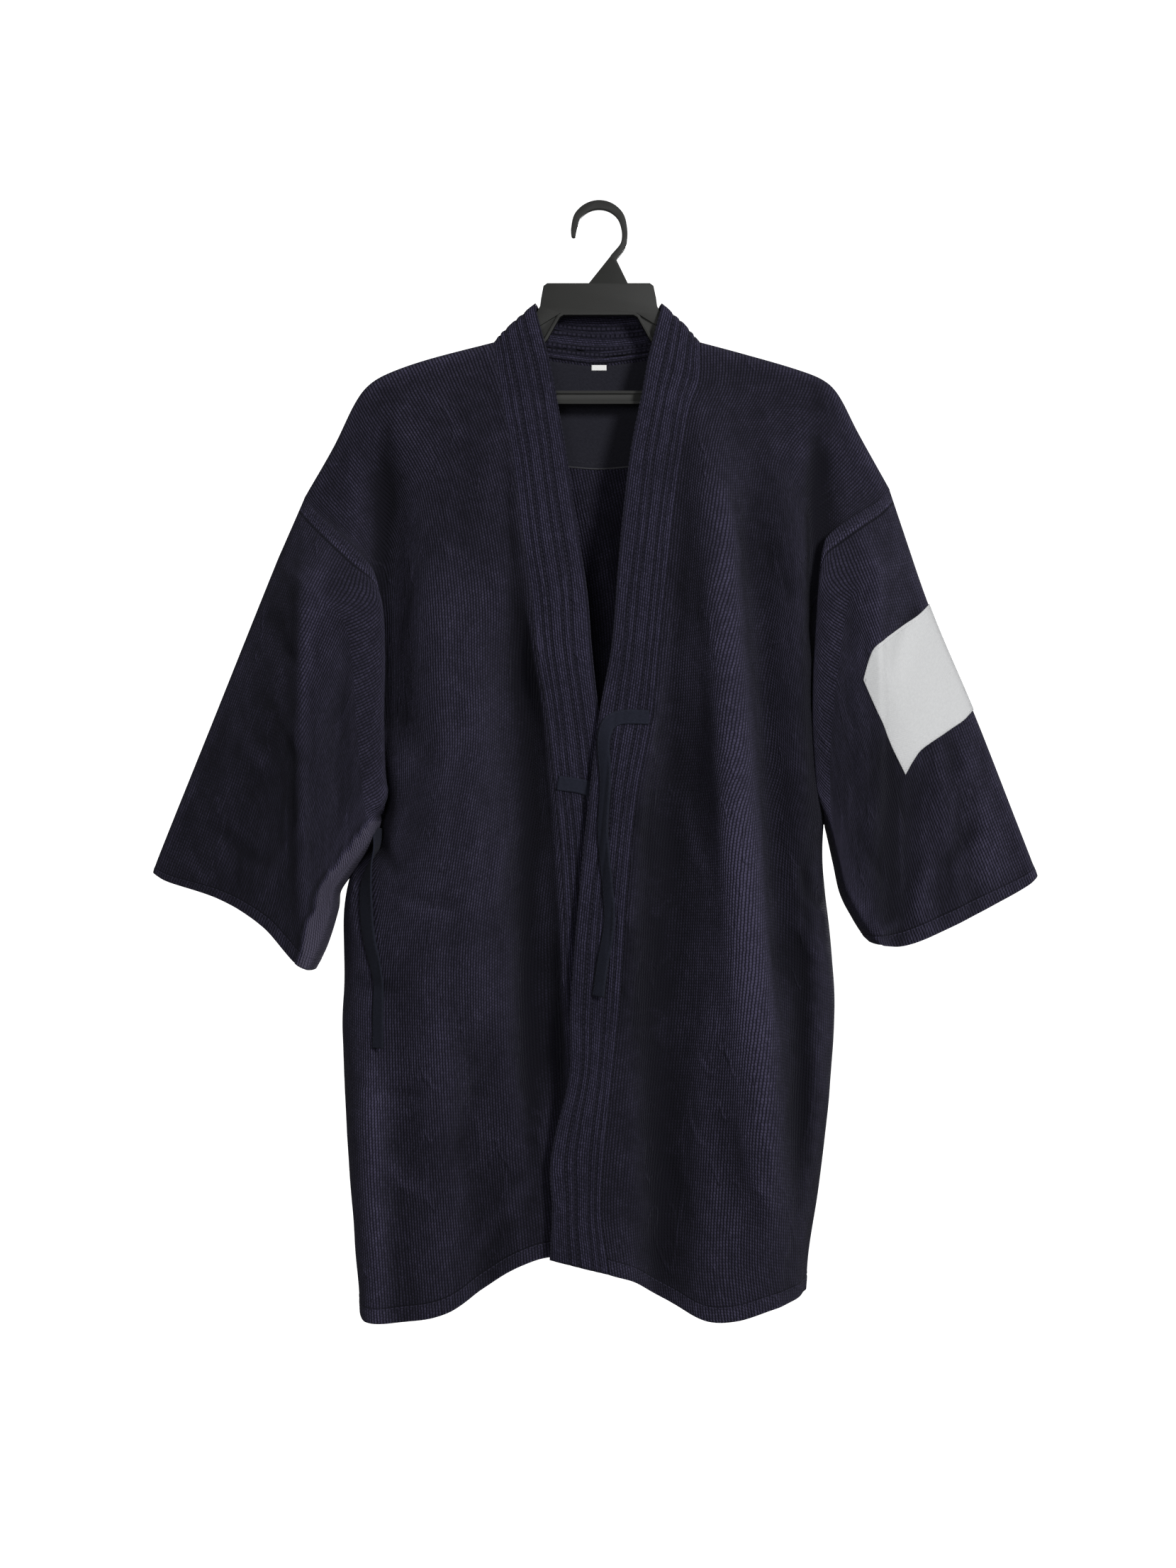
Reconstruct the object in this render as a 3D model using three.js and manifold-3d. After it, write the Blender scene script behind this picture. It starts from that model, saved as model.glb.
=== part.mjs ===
// A sashiko cotton noragi jacket hanging on a moulded shop hanger.
// Millimetres, +Z up, +X to the viewer's right, -Y towards the viewer.
// The origin is the crown of the hanger's hook, where a rail carries it.
// Left and right in the names are the wearer's, so the right front is on the viewer's left.
import * as THREE from 'three';
import { mergeVertices } from 'three/addons/utils/BufferGeometryUtils.js';
import Module from 'manifold-3d';

const wasm = await Module();
wasm.setup();

// Cloth and seams
const CLOTH = 1.8;
const BAND = 3.6;
const LINING = 1.0;
const TAPE = 1.4;
const SEAM_GAP = 0.3;
const LAID_GAP = 0.35;

// Shoulder fold over the hanger's arm, and the shoulder seam a little behind it
const FOLD_RADIUS = 8;
const SEAM_DROP = 6.2;

// Hanger
const HANGER_THICK = 9;
const HANGER_WEB = 3.6;
const HANGER_RIM = 2.6;
const HOOK_THICK = 7.6;

const COLOURS = {
  cloth: 0x24232f,
  band: 0x272631,
  lining: 0x2a2a33,
  tape: 0x1b2029,
  patch: 0xdedfdd,
  label: 0xf2f2f0,
  plastic: 0x2c2c2a,
};

const clamp = (t) => Math.min(1, Math.max(0, t));
const mix = (a, b, t) => a + (b - a) * t;
const smooth = (a, b, t) => {
  const k = clamp((t - a) / (b - a));
  return k * k * (3 - 2 * k);
};
const bump = (distance, width) => Math.exp(-((distance / width) ** 2));

// Reads a table as smooth curves of its first column: a cubic through the rows.
function table(columns, rows) {
  const knots = rows.map((row) => row[0]);
  const slope = (c, i) => {
    const before = Math.max(0, i - 1);
    const after = Math.min(rows.length - 1, i + 1);
    return (rows[after][c] - rows[before][c]) / (knots[after] - knots[before]);
  };
  return (t) => {
    let i = 0;
    while (i < rows.length - 2 && t > knots[i + 1]) i += 1;
    const span = knots[i + 1] - knots[i];
    const k = clamp((t - knots[i]) / span);
    const found = {};
    columns.slice(1).forEach((name, j) => {
      const c = j + 1;
      const h = k * k * (3 - 2 * k);
      const start = rows[i][c] * (1 - h) + rows[i + 1][c] * h;
      const lift = (k ** 3 - 2 * k * k + k) * slope(c, i) + (k ** 3 - k * k) * slope(c, i + 1);
      found[name] = start + lift * span;
    });
    return found;
  };
}

// Depth in front of, or behind, the hanger's plane, by the drop below the shoulder fold.
const FRONT_FALL = table(['drop', 'depth'], [
  [0, 0],
  [12, 1],
  [45, 9],
  [100, 18],
  [180, 26],
  [320, 34],
  [480, 39],
  [700, 44],
  [900, 47],
]);
const BACK_FALL = table(['drop', 'depth'], [
  [0, 0],
  [20, 4],
  [60, 13],
  [120, 19],
  [300, 24],
  [600, 28],
  [900, 31],
]);

// Edges of the right front. v runs from the shoulder fold, 0, to the hem, 1.
const RIGHT_SHOULDER = table(['u', 'x', 'z'], [
  [0, -97, -122],
  [0.32, -160, -138.5],
  [0.5, -196, -151.5],
  [0.6, -213, -162.5],
  [0.69, -225, -179],
  [0.84, -244, -218],
  [1, -271, -265],
]);
const RIGHT_BAND_SEAM = table(['v', 'x', 'z', 'depth'], [
  [0, -97, -122, 8],
  [0.042, -92, -157, 15],
  [0.086, -86, -193, 21],
  [0.139, -78, -237, 27],
  [0.217, -70, -302, 34],
  [0.28, -62, -354, 37],
  [0.342, -57, -406, 39],
  [0.405, -48, -458, 40],
  [0.477, -41, -518, 41],
  [0.561, -34, -588, 42],
  [0.73, -27, -728, 43],
  [1, -14, -950, 45],
]);
const RIGHT_OUTER_EDGE = table(['v', 'x', 'z', 'depth'], [
  [0, -271, -265, 6],
  [0.03, -258, -279, 15],
  [0.06, -240, -296, 24],
  [0.1, -218, -317, 31],
  [0.14, -203, -338, 33],
  [0.2, -199, -380, 32],
  [0.3, -200, -450, 26],
  [0.37, -199, -505, 16],
  [0.43, -197, -549, 0.1],
  [0.465, -205, -584, 0.1],
  [0.505, -216, -618, 0.1],
  [0.6, -233, -705, 0.1],
  [0.68, -235, -770, 0.1],
  [0.82, -229, -880, 0.1],
  [0.92, -222, -952, 0.1],
  [1, -218, -1005, 0.1],
]);
const RIGHT_HEM = table(['u', 'x', 'z'], [
  [0, -14, -950],
  [0.2, -53, -953],
  [0.34, -82, -965],
  [0.47, -106, -982],
  [0.62, -136, -1001],
  [0.8, -173, -1010],
  [0.95, -209, -1011],
  [1, -218, -1005],
]);

// Edges of the left front, which laps over the right one.
const LEFT_SHOULDER = table(['u', 'x', 'z'], [
  [0, 92, -122],
  [0.24, 133, -133],
  [0.53, 184, -148],
  [0.66, 207, -158],
  [0.75, 220, -172],
  [0.86, 237, -205],
  [1, 266, -257],
]);
const LEFT_BAND_SEAM = table(['v', 'x', 'z', 'depth'], [
  [0, 92, -122, 8],
  [0.045, 91, -159, 15],
  [0.076, 82, -185, 20],
  [0.129, 74, -229, 26],
  [0.179, 68, -271, 31],
  [0.232, 63, -315, 36],
  [0.341, 53, -406, 42],
  [0.414, 47, -466, 46],
  [0.502, 33, -539, 50],
  [0.608, 24, -627, 54],
  [0.731, 17, -729, 57],
  [0.836, 8, -816, 60],
  [0.942, 1, -904, 62],
  [1, 8, -965, 63],
]);
const LEFT_OUTER_EDGE = table(['v', 'x', 'z', 'depth'], [
  [0, 266, -257, 6],
  [0.03, 252, -270, 15],
  [0.06, 236, -280, 22],
  [0.1, 213, -296, 27],
  [0.13, 203, -309, 29],
  [0.2, 198, -360, 27],
  [0.3, 195, -440, 20],
  [0.38, 198, -505, 12],
  [0.43, 203, -552, 0.1],
  [0.48, 203, -586, 0.1],
  [0.52, 206, -621, 0.1],
  [0.58, 212, -676, 0.1],
  [0.65, 215, -736, 0.1],
  [0.76, 209, -822, 0.1],
  [0.85, 201, -894, 0.1],
  [0.93, 192, -952, 0.1],
  [1, 189, -989, 0.1],
]);
const LEFT_HEM = table(['u', 'x', 'z'], [
  [0, 8, -965],
  [0.14, 35, -974],
  [0.3, 66, -993],
  [0.45, 95, -1007],
  [0.6, 122, -1007],
  [0.8, 152, -998],
  [0.93, 178, -992],
  [1, 189, -989],
]);

// Edges of the back.
const NECK_FROM = 0.32;
const NECK_TO = 0.68;
const BACK_NECK = table(['w', 'x', 'z', 'fold'], [
  [0, -97, -122, -122],
  [0.16, -66, -124, -92],
  [0.32, -35, -128, -66],
  [0.5, -2, -131, -52],
  [0.68, 31, -128, -66],
  [0.84, 61, -124, -92],
  [1, 92, -122, -122],
]);
function backTop(across) {
  const alongNeck = (across - NECK_FROM) / (NECK_TO - NECK_FROM);
  if (alongNeck >= 0 && alongNeck <= 1) return BACK_NECK(alongNeck);
  const onRight = 1 - across / NECK_FROM;
  const onLeft = (across - NECK_TO) / (1 - NECK_TO);
  const shoulder = alongNeck < 0 ? RIGHT_SHOULDER(onRight) : LEFT_SHOULDER(onLeft);
  return { x: shoulder.x, z: shoulder.z, fold: shoulder.z };
}
const BACK_RIGHT_EDGE = table(['v', 'x', 'z', 'depth'], [
  [0, -271, -265, 8],
  [0.05, -262, -297, 14],
  [0.12, -244, -350, 20],
  [0.2, -226, -407, 21],
  [0.3, -209, -475, 17],
  [0.37, -200, -520, 9],
  [0.43, -197, -549, 0.1],
  [0.465, -205, -584, 0.1],
  [0.505, -216, -618, 0.1],
  [0.6, -233, -705, 0.1],
  [0.68, -235, -770, 0.1],
  [0.82, -229, -880, 0.1],
  [0.92, -222, -952, 0.1],
  [1, -218, -1005, 0.1],
]);
const BACK_LEFT_EDGE = table(['v', 'x', 'z', 'depth'], [
  [0, 266, -257, 8],
  [0.05, 257, -292, 14],
  [0.12, 240, -345, 20],
  [0.2, 225, -402, 21],
  [0.3, 211, -470, 17],
  [0.38, 204, -520, 9],
  [0.43, 203, -552, 0.1],
  [0.48, 203, -586, 0.1],
  [0.52, 206, -621, 0.1],
  [0.58, 212, -676, 0.1],
  [0.65, 215, -736, 0.1],
  [0.76, 209, -822, 0.1],
  [0.85, 201, -894, 0.1],
  [0.93, 192, -952, 0.1],
  [1, 189, -989, 0.1],
]);
const BACK_HEM = table(['u', 'x', 'z'], [
  [0, -218, -1005],
  [0.1, -184, -1004],
  [0.22, -138, -990],
  [0.36, -78, -964],
  [0.5, -14, -947],
  [0.64, 48, -957],
  [0.78, 105, -978],
  [0.9, 152, -990],
  [1, 189, -989],
]);

// Folds. Each runs from its top to its foot and stands out by rise, or sinks where rise is negative.
const FOLD_COLUMNS = ['topX', 'topZ', 'footX', 'footZ', 'width', 'rise'];
const folds = (rows) => rows.map((row) => Object.fromEntries(FOLD_COLUMNS.map((name, i) => [name, row[i]])));
const RIGHT_FRONT_FOLDS = folds([
  [-203, -190, -182, -520, 20, -9],
  [-150, -260, -140, -900, 42, 7],
  [-80, -330, -44, -860, 26, -13],
  [-60, -430, -54, -700, 16, 4],
  [-176, -640, -186, -1080, 24, -6],
  [-112, -690, -96, -1100, 22, -7],
  [-206, -760, -204, -1080, 18, 6],
]);
const LEFT_FRONT_FOLDS = folds([
  [96, -140, 160, -980, 21, 12],
  [100, -200, 130, -900, 34, 6],
  [74, -400, 56, -1060, 24, -12],
  [124, -230, 172, -760, 19, -8],
  [180, -240, 190, -620, 20, 6],
  [205, -200, 200, -420, 14, -7],
  [178, -700, 176, -1080, 18, -6],
]);
const BACK_FOLDS = folds([
  [-150, -200, -150, -1080, 30, 9],
  [-100, -330, -88, -1060, 24, -9],
  [-30, -260, -20, -1060, 34, 8],
  [40, -420, 48, -1060, 24, -8],
  [110, -230, 112, -1080, 30, 10],
  [168, -300, 160, -900, 18, -7],
  [-196, -420, -192, -960, 16, -6],
]);

// How far the folds lift the cloth at a place seen from the front.
function foldRise(list, x, z) {
  return list.reduce((sum, fold) => {
    const along = (fold.topZ - z) / (fold.topZ - fold.footZ);
    const fade = smooth(0, 0.22, along) * (1 - smooth(0.82, 1, along));
    const middle = mix(fold.topX, fold.footX, clamp(along));
    return sum + fold.rise * fade * bump(x - middle, fold.width);
  }, 0);
}

// Fills the outline of four edge curves, seen from the front.
function coons(top, bottom, start, end, u, v) {
  const at = (axis) =>
    mix(top(u)[axis], bottom(u)[axis], v) +
    mix(start(v)[axis], end(v)[axis], u) -
    mix(mix(start(0)[axis], end(0)[axis], u), mix(start(1)[axis], end(1)[axis], u), v);
  return { x: at('x'), z: at('z') };
}

// A quarter round at one end of a width: the share across and how much of the depth is left.
function turnAtEnd(u, share) {
  const begins = (1 - share) / (1 - share + (share * Math.PI) / 2);
  if (u <= begins) return { across: (u / begins) * (1 - share), left: 1 };
  const angle = ((u - begins) / (1 - begins)) * (Math.PI / 2);
  return { across: 1 - share + share * Math.sin(angle), left: Math.cos(angle) };
}

const roundOver = (drop, radius) => Math.sqrt(Math.max(0, 1 - (1 - clamp(drop / radius)) ** 2));

const SIDE_TURN = 0.16;

// A front, from the shoulder seam behind the fold (v below 0, a thousandth for each mm) down to the hem.
const WRAP_SCALE = 1000;
function frontSurface(cut) {
  return (u, v) => {
    const { across, left } = turnAtEnd(u, SIDE_TURN);
    if (v < 0) {
      const fold = cut.shoulder(across);
      const behind = FOLD_RADIUS * roundOver(-v * WRAP_SCALE, FOLD_RADIUS);
      return new THREE.Vector3(fold.x, behind, fold.z + v * WRAP_SCALE);
    }
    const { x, z } = coons(cut.shoulder, cut.hem, cut.bandSeam, cut.outerEdge, across, v);
    const drop = cut.shoulder(across).z - z;
    const over = roundOver(drop, FOLD_RADIUS);
    const plain = FOLD_RADIUS + FRONT_FALL(drop).depth + cut.forward * smooth(0, 300, drop);
    const atBand = (cut.bandSeam(v).depth - plain) * (1 - smooth(0, 0.34, across));
    const atEdge = (cut.outerEdge(v).depth - plain) * (1 - left);
    const free = smooth(0, 0.07, across) * smooth(0, 0.5, left) * smooth(0, 60, drop);
    const rise = foldRise(cut.folds, x, z) * free;
    return new THREE.Vector3(x, -over * (plain + atBand + atEdge) - rise, z);
  };
}

const rightFront = frontSurface({
  shoulder: RIGHT_SHOULDER,
  hem: RIGHT_HEM,
  bandSeam: RIGHT_BAND_SEAM,
  outerEdge: RIGHT_OUTER_EDGE,
  folds: RIGHT_FRONT_FOLDS,
  forward: 0,
});
const leftFront = frontSurface({
  shoulder: LEFT_SHOULDER,
  hem: LEFT_HEM,
  bandSeam: LEFT_BAND_SEAM,
  outerEdge: LEFT_OUTER_EDGE,
  folds: LEFT_FRONT_FOLDS,
  forward: 6,
});

const BACK_SIDE_TURN = 0.09;
// Which share of the back's width lies at u, and the other way about.
function backShare(u) {
  const half = turnAtEnd(u > 0.5 ? u * 2 - 1 : 1 - u * 2, BACK_SIDE_TURN * 2).across / 2;
  return u > 0.5 ? 0.5 + half : 0.5 - half;
}
function backU(share) {
  let low = 0;
  let high = 1;
  for (let i = 0; i < 40; i += 1) {
    const u = (low + high) / 2;
    if (backShare(u) < share) low = u;
    else high = u;
  }
  return (low + high) / 2;
}

// The back, from the shoulder seams and the neck (v 0) down to the hem, from the right side to the left.
function backSurface(u, v) {
  const toLeft = u > 0.5;
  const { left } = turnAtEnd(toLeft ? u * 2 - 1 : 1 - u * 2, BACK_SIDE_TURN * 2);
  const across = backShare(u);
  const { x, z } = coons(backTop, BACK_HEM, BACK_RIGHT_EDGE, BACK_LEFT_EDGE, across, v);
  const fold = backTop(across);
  const beside = backTop(across < 0.5 ? across + 0.01 : across - 0.01);
  const slope = (beside.z - fold.z) / (beside.x - fold.x);
  const height = z - (SEAM_DROP + SEAM_GAP * Math.hypot(1, slope)) * (1 - smooth(0, 0.05, v));
  const drop = fold.fold - height;
  const over = roundOver(drop, FOLD_RADIUS);
  const plain = FOLD_RADIUS + BACK_FALL(drop).depth;
  const edge = toLeft ? BACK_LEFT_EDGE(v).depth : BACK_RIGHT_EDGE(v).depth;
  const depth = mix(edge, plain, left);
  const free = smooth(0, 0.5, left) * smooth(40, 140, drop);
  return new THREE.Vector3(x, over * depth + foldRise(BACK_FOLDS, x, height) * free, height);
}

// Sleeves. s runs from the armhole to the cuff. The armholes take the top of each body edge, as a share of v.
const ARMHOLE = 0.43;
const RIGHT_SLEEVE = {
  side: -1,
  front: rightFront,
  backSide: 0,
  top: table(['s', 'x', 'z', 'depth'], [
    [0, -271, -265, 0],
    [0.12, -290, -309, 0],
    [0.57, -355, -471, 0],
    [0.94, -406, -598, 0],
    [1, -409, -608, 0],
  ]),
  under: table(['s', 'x', 'z', 'depth'], [
    [0, -197, -549, 0],
    [0.1, -205, -563, 3],
    [0.25, -216, -586, 8],
    [0.42, -229, -610, 13],
    [0.55, -238, -627, 16],
    [0.65, -239, -643, 18],
    [0.85, -249, -676, 18],
    [1, -259, -695, 16],
  ]),
  cuff: table(['q', 'x', 'z'], [
    [0, -409, -608],
    [0.12, -395, -616],
    [0.42, -343, -632],
    [0.68, -303, -656],
    [0.86, -275, -686],
    [1, -259, -695],
  ]),
  creaseX: -262,
  creaseDepth: 58,
  innerDepth: 52,
  lap: 6,
  folds: folds([
    [-330, -420, -352, -690, 18, 4],
    [-228, -420, -236, -640, 16, -3],
  ]),
};
const LEFT_SLEEVE = {
  side: 1,
  front: leftFront,
  backSide: 1,
  top: table(['s', 'x', 'z', 'depth'], [
    [0, 266, -257, 0],
    [0.29, 302, -364, 0],
    [0.57, 344, -464, 0],
    [0.83, 380, -556, 0],
    [0.97, 399, -605, 0],
    [1, 401, -611, 0],
  ]),
  under: table(['s', 'x', 'z', 'depth'], [
    [0, 203, -552, 0],
    [0.12, 208, -572, 2],
    [0.3, 214, -600, 5],
    [0.5, 220, -628, 8],
    [0.75, 231, -650, 8],
    [0.9, 240, -664, 6],
    [1, 247, -671, 4],
  ]),
  cuff: table(['q', 'x', 'z'], [
    [0, 401, -611],
    [0.1, 391, -620],
    [0.36, 347, -643],
    [0.64, 302, -664],
    [0.84, 272, -674],
    [1, 247, -671],
  ]),
  creaseX: 250,
  creaseDepth: 46,
  innerDepth: 40,
  lap: 3,
  folds: folds([
    [286, -500, 266, -720, 16, -7],
    [330, -430, 360, -640, 18, 4],
    [222, -380, 232, -600, 16, 3],
  ]),
};

const UNDER_ROUND = 9;
const SLEEVE_BACK = 21;
const WRAP_SHARE = 0.025;
const LAP_SHARE = 0.15;
const SEWN_ASIDE = 0.8;

// A sleeve as a tube. q runs from the top fold down the front to the underarm seam at 0.5, and up the back.
function sleeveSurface(cut) {
  const frontEdge = (across) => cut.front(1, across * ARMHOLE);
  const backEdge = (across) => {
    if (across < WRAP_SHARE) return cut.front(1, (-across / WRAP_SHARE) * (SEAM_DROP / WRAP_SCALE));
    return backSurface(cut.backSide, ((across - WRAP_SHARE) / (1 - WRAP_SHARE)) * ARMHOLE);
  };
  const spread = (s, across, edge) => {
    const along = coons(cut.top, cut.under, edge, cut.cuff, s, across);
    const width = Math.hypot(cut.top(s).x - cut.under(s).x, cut.top(s).z - cut.under(s).z);
    return {
      ...along,
      fromTop: roundOver(across * width, FOLD_RADIUS),
      fromUnder: roundOver((1 - across) * width, UNDER_ROUND),
    };
  };
  const hung = (s, across) => {
    const { x, z, fromTop, fromUnder } = spread(s, across, frontEdge);
    const silhouette = cut.top(clamp((cut.top(0).z - z) / (cut.top(0).z - cut.top(1).z))).x;
    const toCrease = clamp((x - silhouette) / (cut.creaseX - silhouette));
    const past = clamp((cut.creaseX - x) / (cut.creaseX - cut.side * 195));
    const outer = FOLD_RADIUS * fromTop + (cut.creaseDepth - FOLD_RADIUS) * toCrease ** 1.15;
    const plain = mix(outer, mix(cut.creaseDepth, cut.innerDepth, past), smooth(0.9, 1, toCrease));
    const rise = foldRise(cut.folds, x, z) * fromUnder * smooth(0, 0.15, across) * smooth(0.1, 0.25, s);
    return new THREE.Vector3(x, -mix(cut.under(s).depth, plain, fromUnder) - rise, z);
  };
  const lapped = (s, across) => {
    const from = frontEdge(across);
    from.x += cut.side * SEWN_ASIDE;
    from.z -= SEWN_ASIDE;
    const to = hung(LAP_SHARE, across);
    const share = smooth(0.2, 0.34, across) * (1 - smooth(0.9, 1, across));
    const first = from.clone().lerp(to, 1 / 3);
    const second = from.clone().lerp(to, 2 / 3);
    const aside = from.x + cut.side * 1.5;
    const tip = (from.x * 0.875 - cut.side * cut.lap - aside * 0.375 - to.x * 0.125) / 0.375;
    first.lerp(new THREE.Vector3(aside, mix(from.y, to.y, 0.75), first.z), share);
    second.lerp(new THREE.Vector3(tip, to.y, second.z), share);
    return new THREE.CubicBezierCurve3(from, first, second, to).getPoint(s / LAP_SHARE);
  };
  return (s, q) => {
    if (q <= 0.5) return s < LAP_SHARE ? lapped(s, q * 2) : hung(s, q * 2);
    const across = 2 - q * 2;
    const { x, z, fromTop, fromUnder } = spread(s, across, backEdge);
    const plain = fromTop * mix(FOLD_RADIUS, SLEEVE_BACK, smooth(0, 0.35, across));
    const y = mix(-cut.under(s).depth, plain, fromUnder);
    const sewn = 1 - smooth(0, 0.12, s);
    return new THREE.Vector3(x + cut.side * SEWN_ASIDE * sewn, mix(y, backEdge(across).y, sewn), z);
  };
}
const rightSleeve = sleeveSurface(RIGHT_SLEEVE);
const leftSleeve = sleeveSurface(LEFT_SLEEVE);

// Free edge of the neckband on each front. v is the front's own, so seam and free edge pair up.
const RIGHT_BAND_EDGE = table(['v', 'x', 'z', 'depth'], [
  [0, -59, -86, 0],
  [0.003, -58.8, -88.4, 6],
  [0.009, -58.2, -94, 9],
  [0.025, -54, -110, 11.5],
  [0.055, -46, -140, 15],
  [0.086, -40, -170, 18],
  [0.139, -31, -222, 23],
  [0.217, -19, -301, 30],
  [0.28, -11, -355, 34],
  [0.342, -7, -406, 36],
  [0.405, -1, -460, 36],
  [0.477, 7, -518, 35],
  [0.561, 13, -588, 34],
  [0.73, 21, -728, 33],
  [1, 34, -946, 34],
]);
const LEFT_BAND_EDGE = table(['v', 'x', 'z', 'depth'], [
  [0, 57, -86, 0],
  [0.003, 56.8, -88.4, 6],
  [0.009, 55.5, -94, 9],
  [0.025, 51, -110, 11.5],
  [0.055, 43.5, -140, 15],
  [0.085, 38, -172, 18],
  [0.129, 28, -222, 23],
  [0.179, 22, -271, 27],
  [0.232, 17, -320, 31],
  [0.341, 10, -404, 38],
  [0.414, 0, -460, 44],
  [0.502, -10, -539, 48],
  [0.608, -19, -627, 51],
  [0.731, -27, -729, 54],
  [0.8, -28, -788, 57],
  [0.85, -41, -845, 59],
  [0.88, -45, -872, 60],
  [0.92, -43, -905, 61],
  [1, -45, -952, 62],
]);
const NECK_BAND_EDGE = table(['w', 'x', 'y', 'z'], [
  [0, -58.6, 6.5, -87.3],
  [0.07, -57, 10.5, -88.2],
  [0.18, -51, 15, -89],
  [0.34, -35, 21, -90],
  [0.5, -1, 24, -91],
  [0.66, 33, 21, -90],
  [0.82, 49, 15, -89],
  [0.93, 55, 10.5, -88.2],
  [1, 56.6, 6.5, -87.3],
]);

// Where the neckband passes the right fold, the neck and the left fold, as shares of its length.
const PASSES = [0.42, 0.432, 0.568, 0.58];
const point = (row) => new THREE.Vector3(row.x, row.y ?? -row.depth, row.z);

// The neckband's seam and free edge by t, from the right front's hem round the neck to the left front's hem.
function bandEdges(t) {
  if (t <= PASSES[0]) {
    const v = 1 - t / PASSES[0];
    return [rightFront(0, v), point(RIGHT_BAND_EDGE(v))];
  }
  if (t >= PASSES[3]) {
    const v = (t - PASSES[3]) / (1 - PASSES[3]);
    return [leftFront(0, v), point(LEFT_BAND_EDGE(v))];
  }
  if (t < PASSES[1]) {
    const k = (t - PASSES[0]) / (PASSES[1] - PASSES[0]);
    const free = point(RIGHT_BAND_EDGE(0)).lerp(point(NECK_BAND_EDGE(0)), k);
    return [rightFront(0, (-k * SEAM_DROP) / WRAP_SCALE), free];
  }
  if (t > PASSES[2]) {
    const k = (PASSES[3] - t) / (PASSES[3] - PASSES[2]);
    const free = point(LEFT_BAND_EDGE(0)).lerp(point(NECK_BAND_EDGE(1)), k);
    return [leftFront(0, (-k * SEAM_DROP) / WRAP_SCALE), free];
  }
  const w = (t - PASSES[1]) / (PASSES[2] - PASSES[1]);
  return [backSurface(backU(mix(NECK_FROM, NECK_TO, w)), 0), point(NECK_BAND_EDGE(w))];
}

// The neckband's outer face. w is 0 at the seam and 1 at the free edge.
const BAND_BULGE = 1.6;
function bandSurface(w, t) {
  const [seam, free] = bandEdges(t);
  const step = 0.006;
  const before = bandEdges(Math.max(0, t - step));
  const after = bandEdges(Math.min(1, t + step));
  const along = after[0].clone().add(after[1]).sub(before[0]).sub(before[1]);
  const outwards = free.clone().sub(seam).cross(along).normalize();
  return seam.clone().lerp(free, w).addScaledVector(outwards, BAND_BULGE * 4 * w * (1 - w));
}

// The way a surface faces at a place, from its neighbours a small step away.
function facing(surface, u, v, limits) {
  const step = 0.0015;
  const [lowU, highU, lowV, highV] = limits;
  const high = surface(Math.min(highU, u + step), v);
  const low = surface(Math.max(lowU, u - step), v);
  const below = surface(u, Math.min(highV, v + step));
  const above = surface(u, Math.max(lowV, v - step));
  return high.sub(low).cross(below.sub(above)).normalize();
}

// A surface moved out along its own facing.
const lifted = (surface, amount, limits) => (u, v) =>
  surface(u, v).addScaledVector(facing(surface, u, v, limits), amount);

// The surface place seen at x and z from the front, found from a first guess.
function locate(surface, x, z, guess) {
  let [u, v] = guess;
  const step = 0.0005;
  for (let i = 0; i < 12; i += 1) {
    const here = surface(u, v);
    const byU = surface(u + step, v).sub(here).divideScalar(step);
    const byV = surface(u, v + step).sub(here).divideScalar(step);
    const det = byU.x * byV.z - byV.x * byU.z;
    const missX = x - here.x;
    const missZ = z - here.z;
    u = clamp(u + (missX * byV.z - byV.x * missZ) / det);
    v = clamp(v + (byU.x * missZ - missX * byU.z) / det);
  }
  return [u, v];
}

// A flat strip laid on a surface along a path seen from the front. u crosses it and v follows the path.
// Its lifted edge stands off the surface by the path's turn, in radians.
function laidStrip(surface, guess, path, width, lift, side) {
  return (u, v) => {
    const here = path(v);
    const before = path(Math.max(0, v - 0.01));
    const after = path(Math.min(1, v + 0.01));
    const length = Math.hypot(after.x - before.x, after.z - before.z);
    const offset = (u - 0.5) * width * Math.cos(here.turn);
    const x = here.x - (offset * (after.z - before.z)) / length;
    const z = here.z + (offset * (after.x - before.x)) / length;
    const place = locate(surface, x, z, guess(here));
    const out = facing(surface, place[0], place[1], [0, 1, 0, 1]);
    return surface(...place).addScaledVector(out, lift + side * u * width * Math.sin(here.turn));
  };
}

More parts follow.
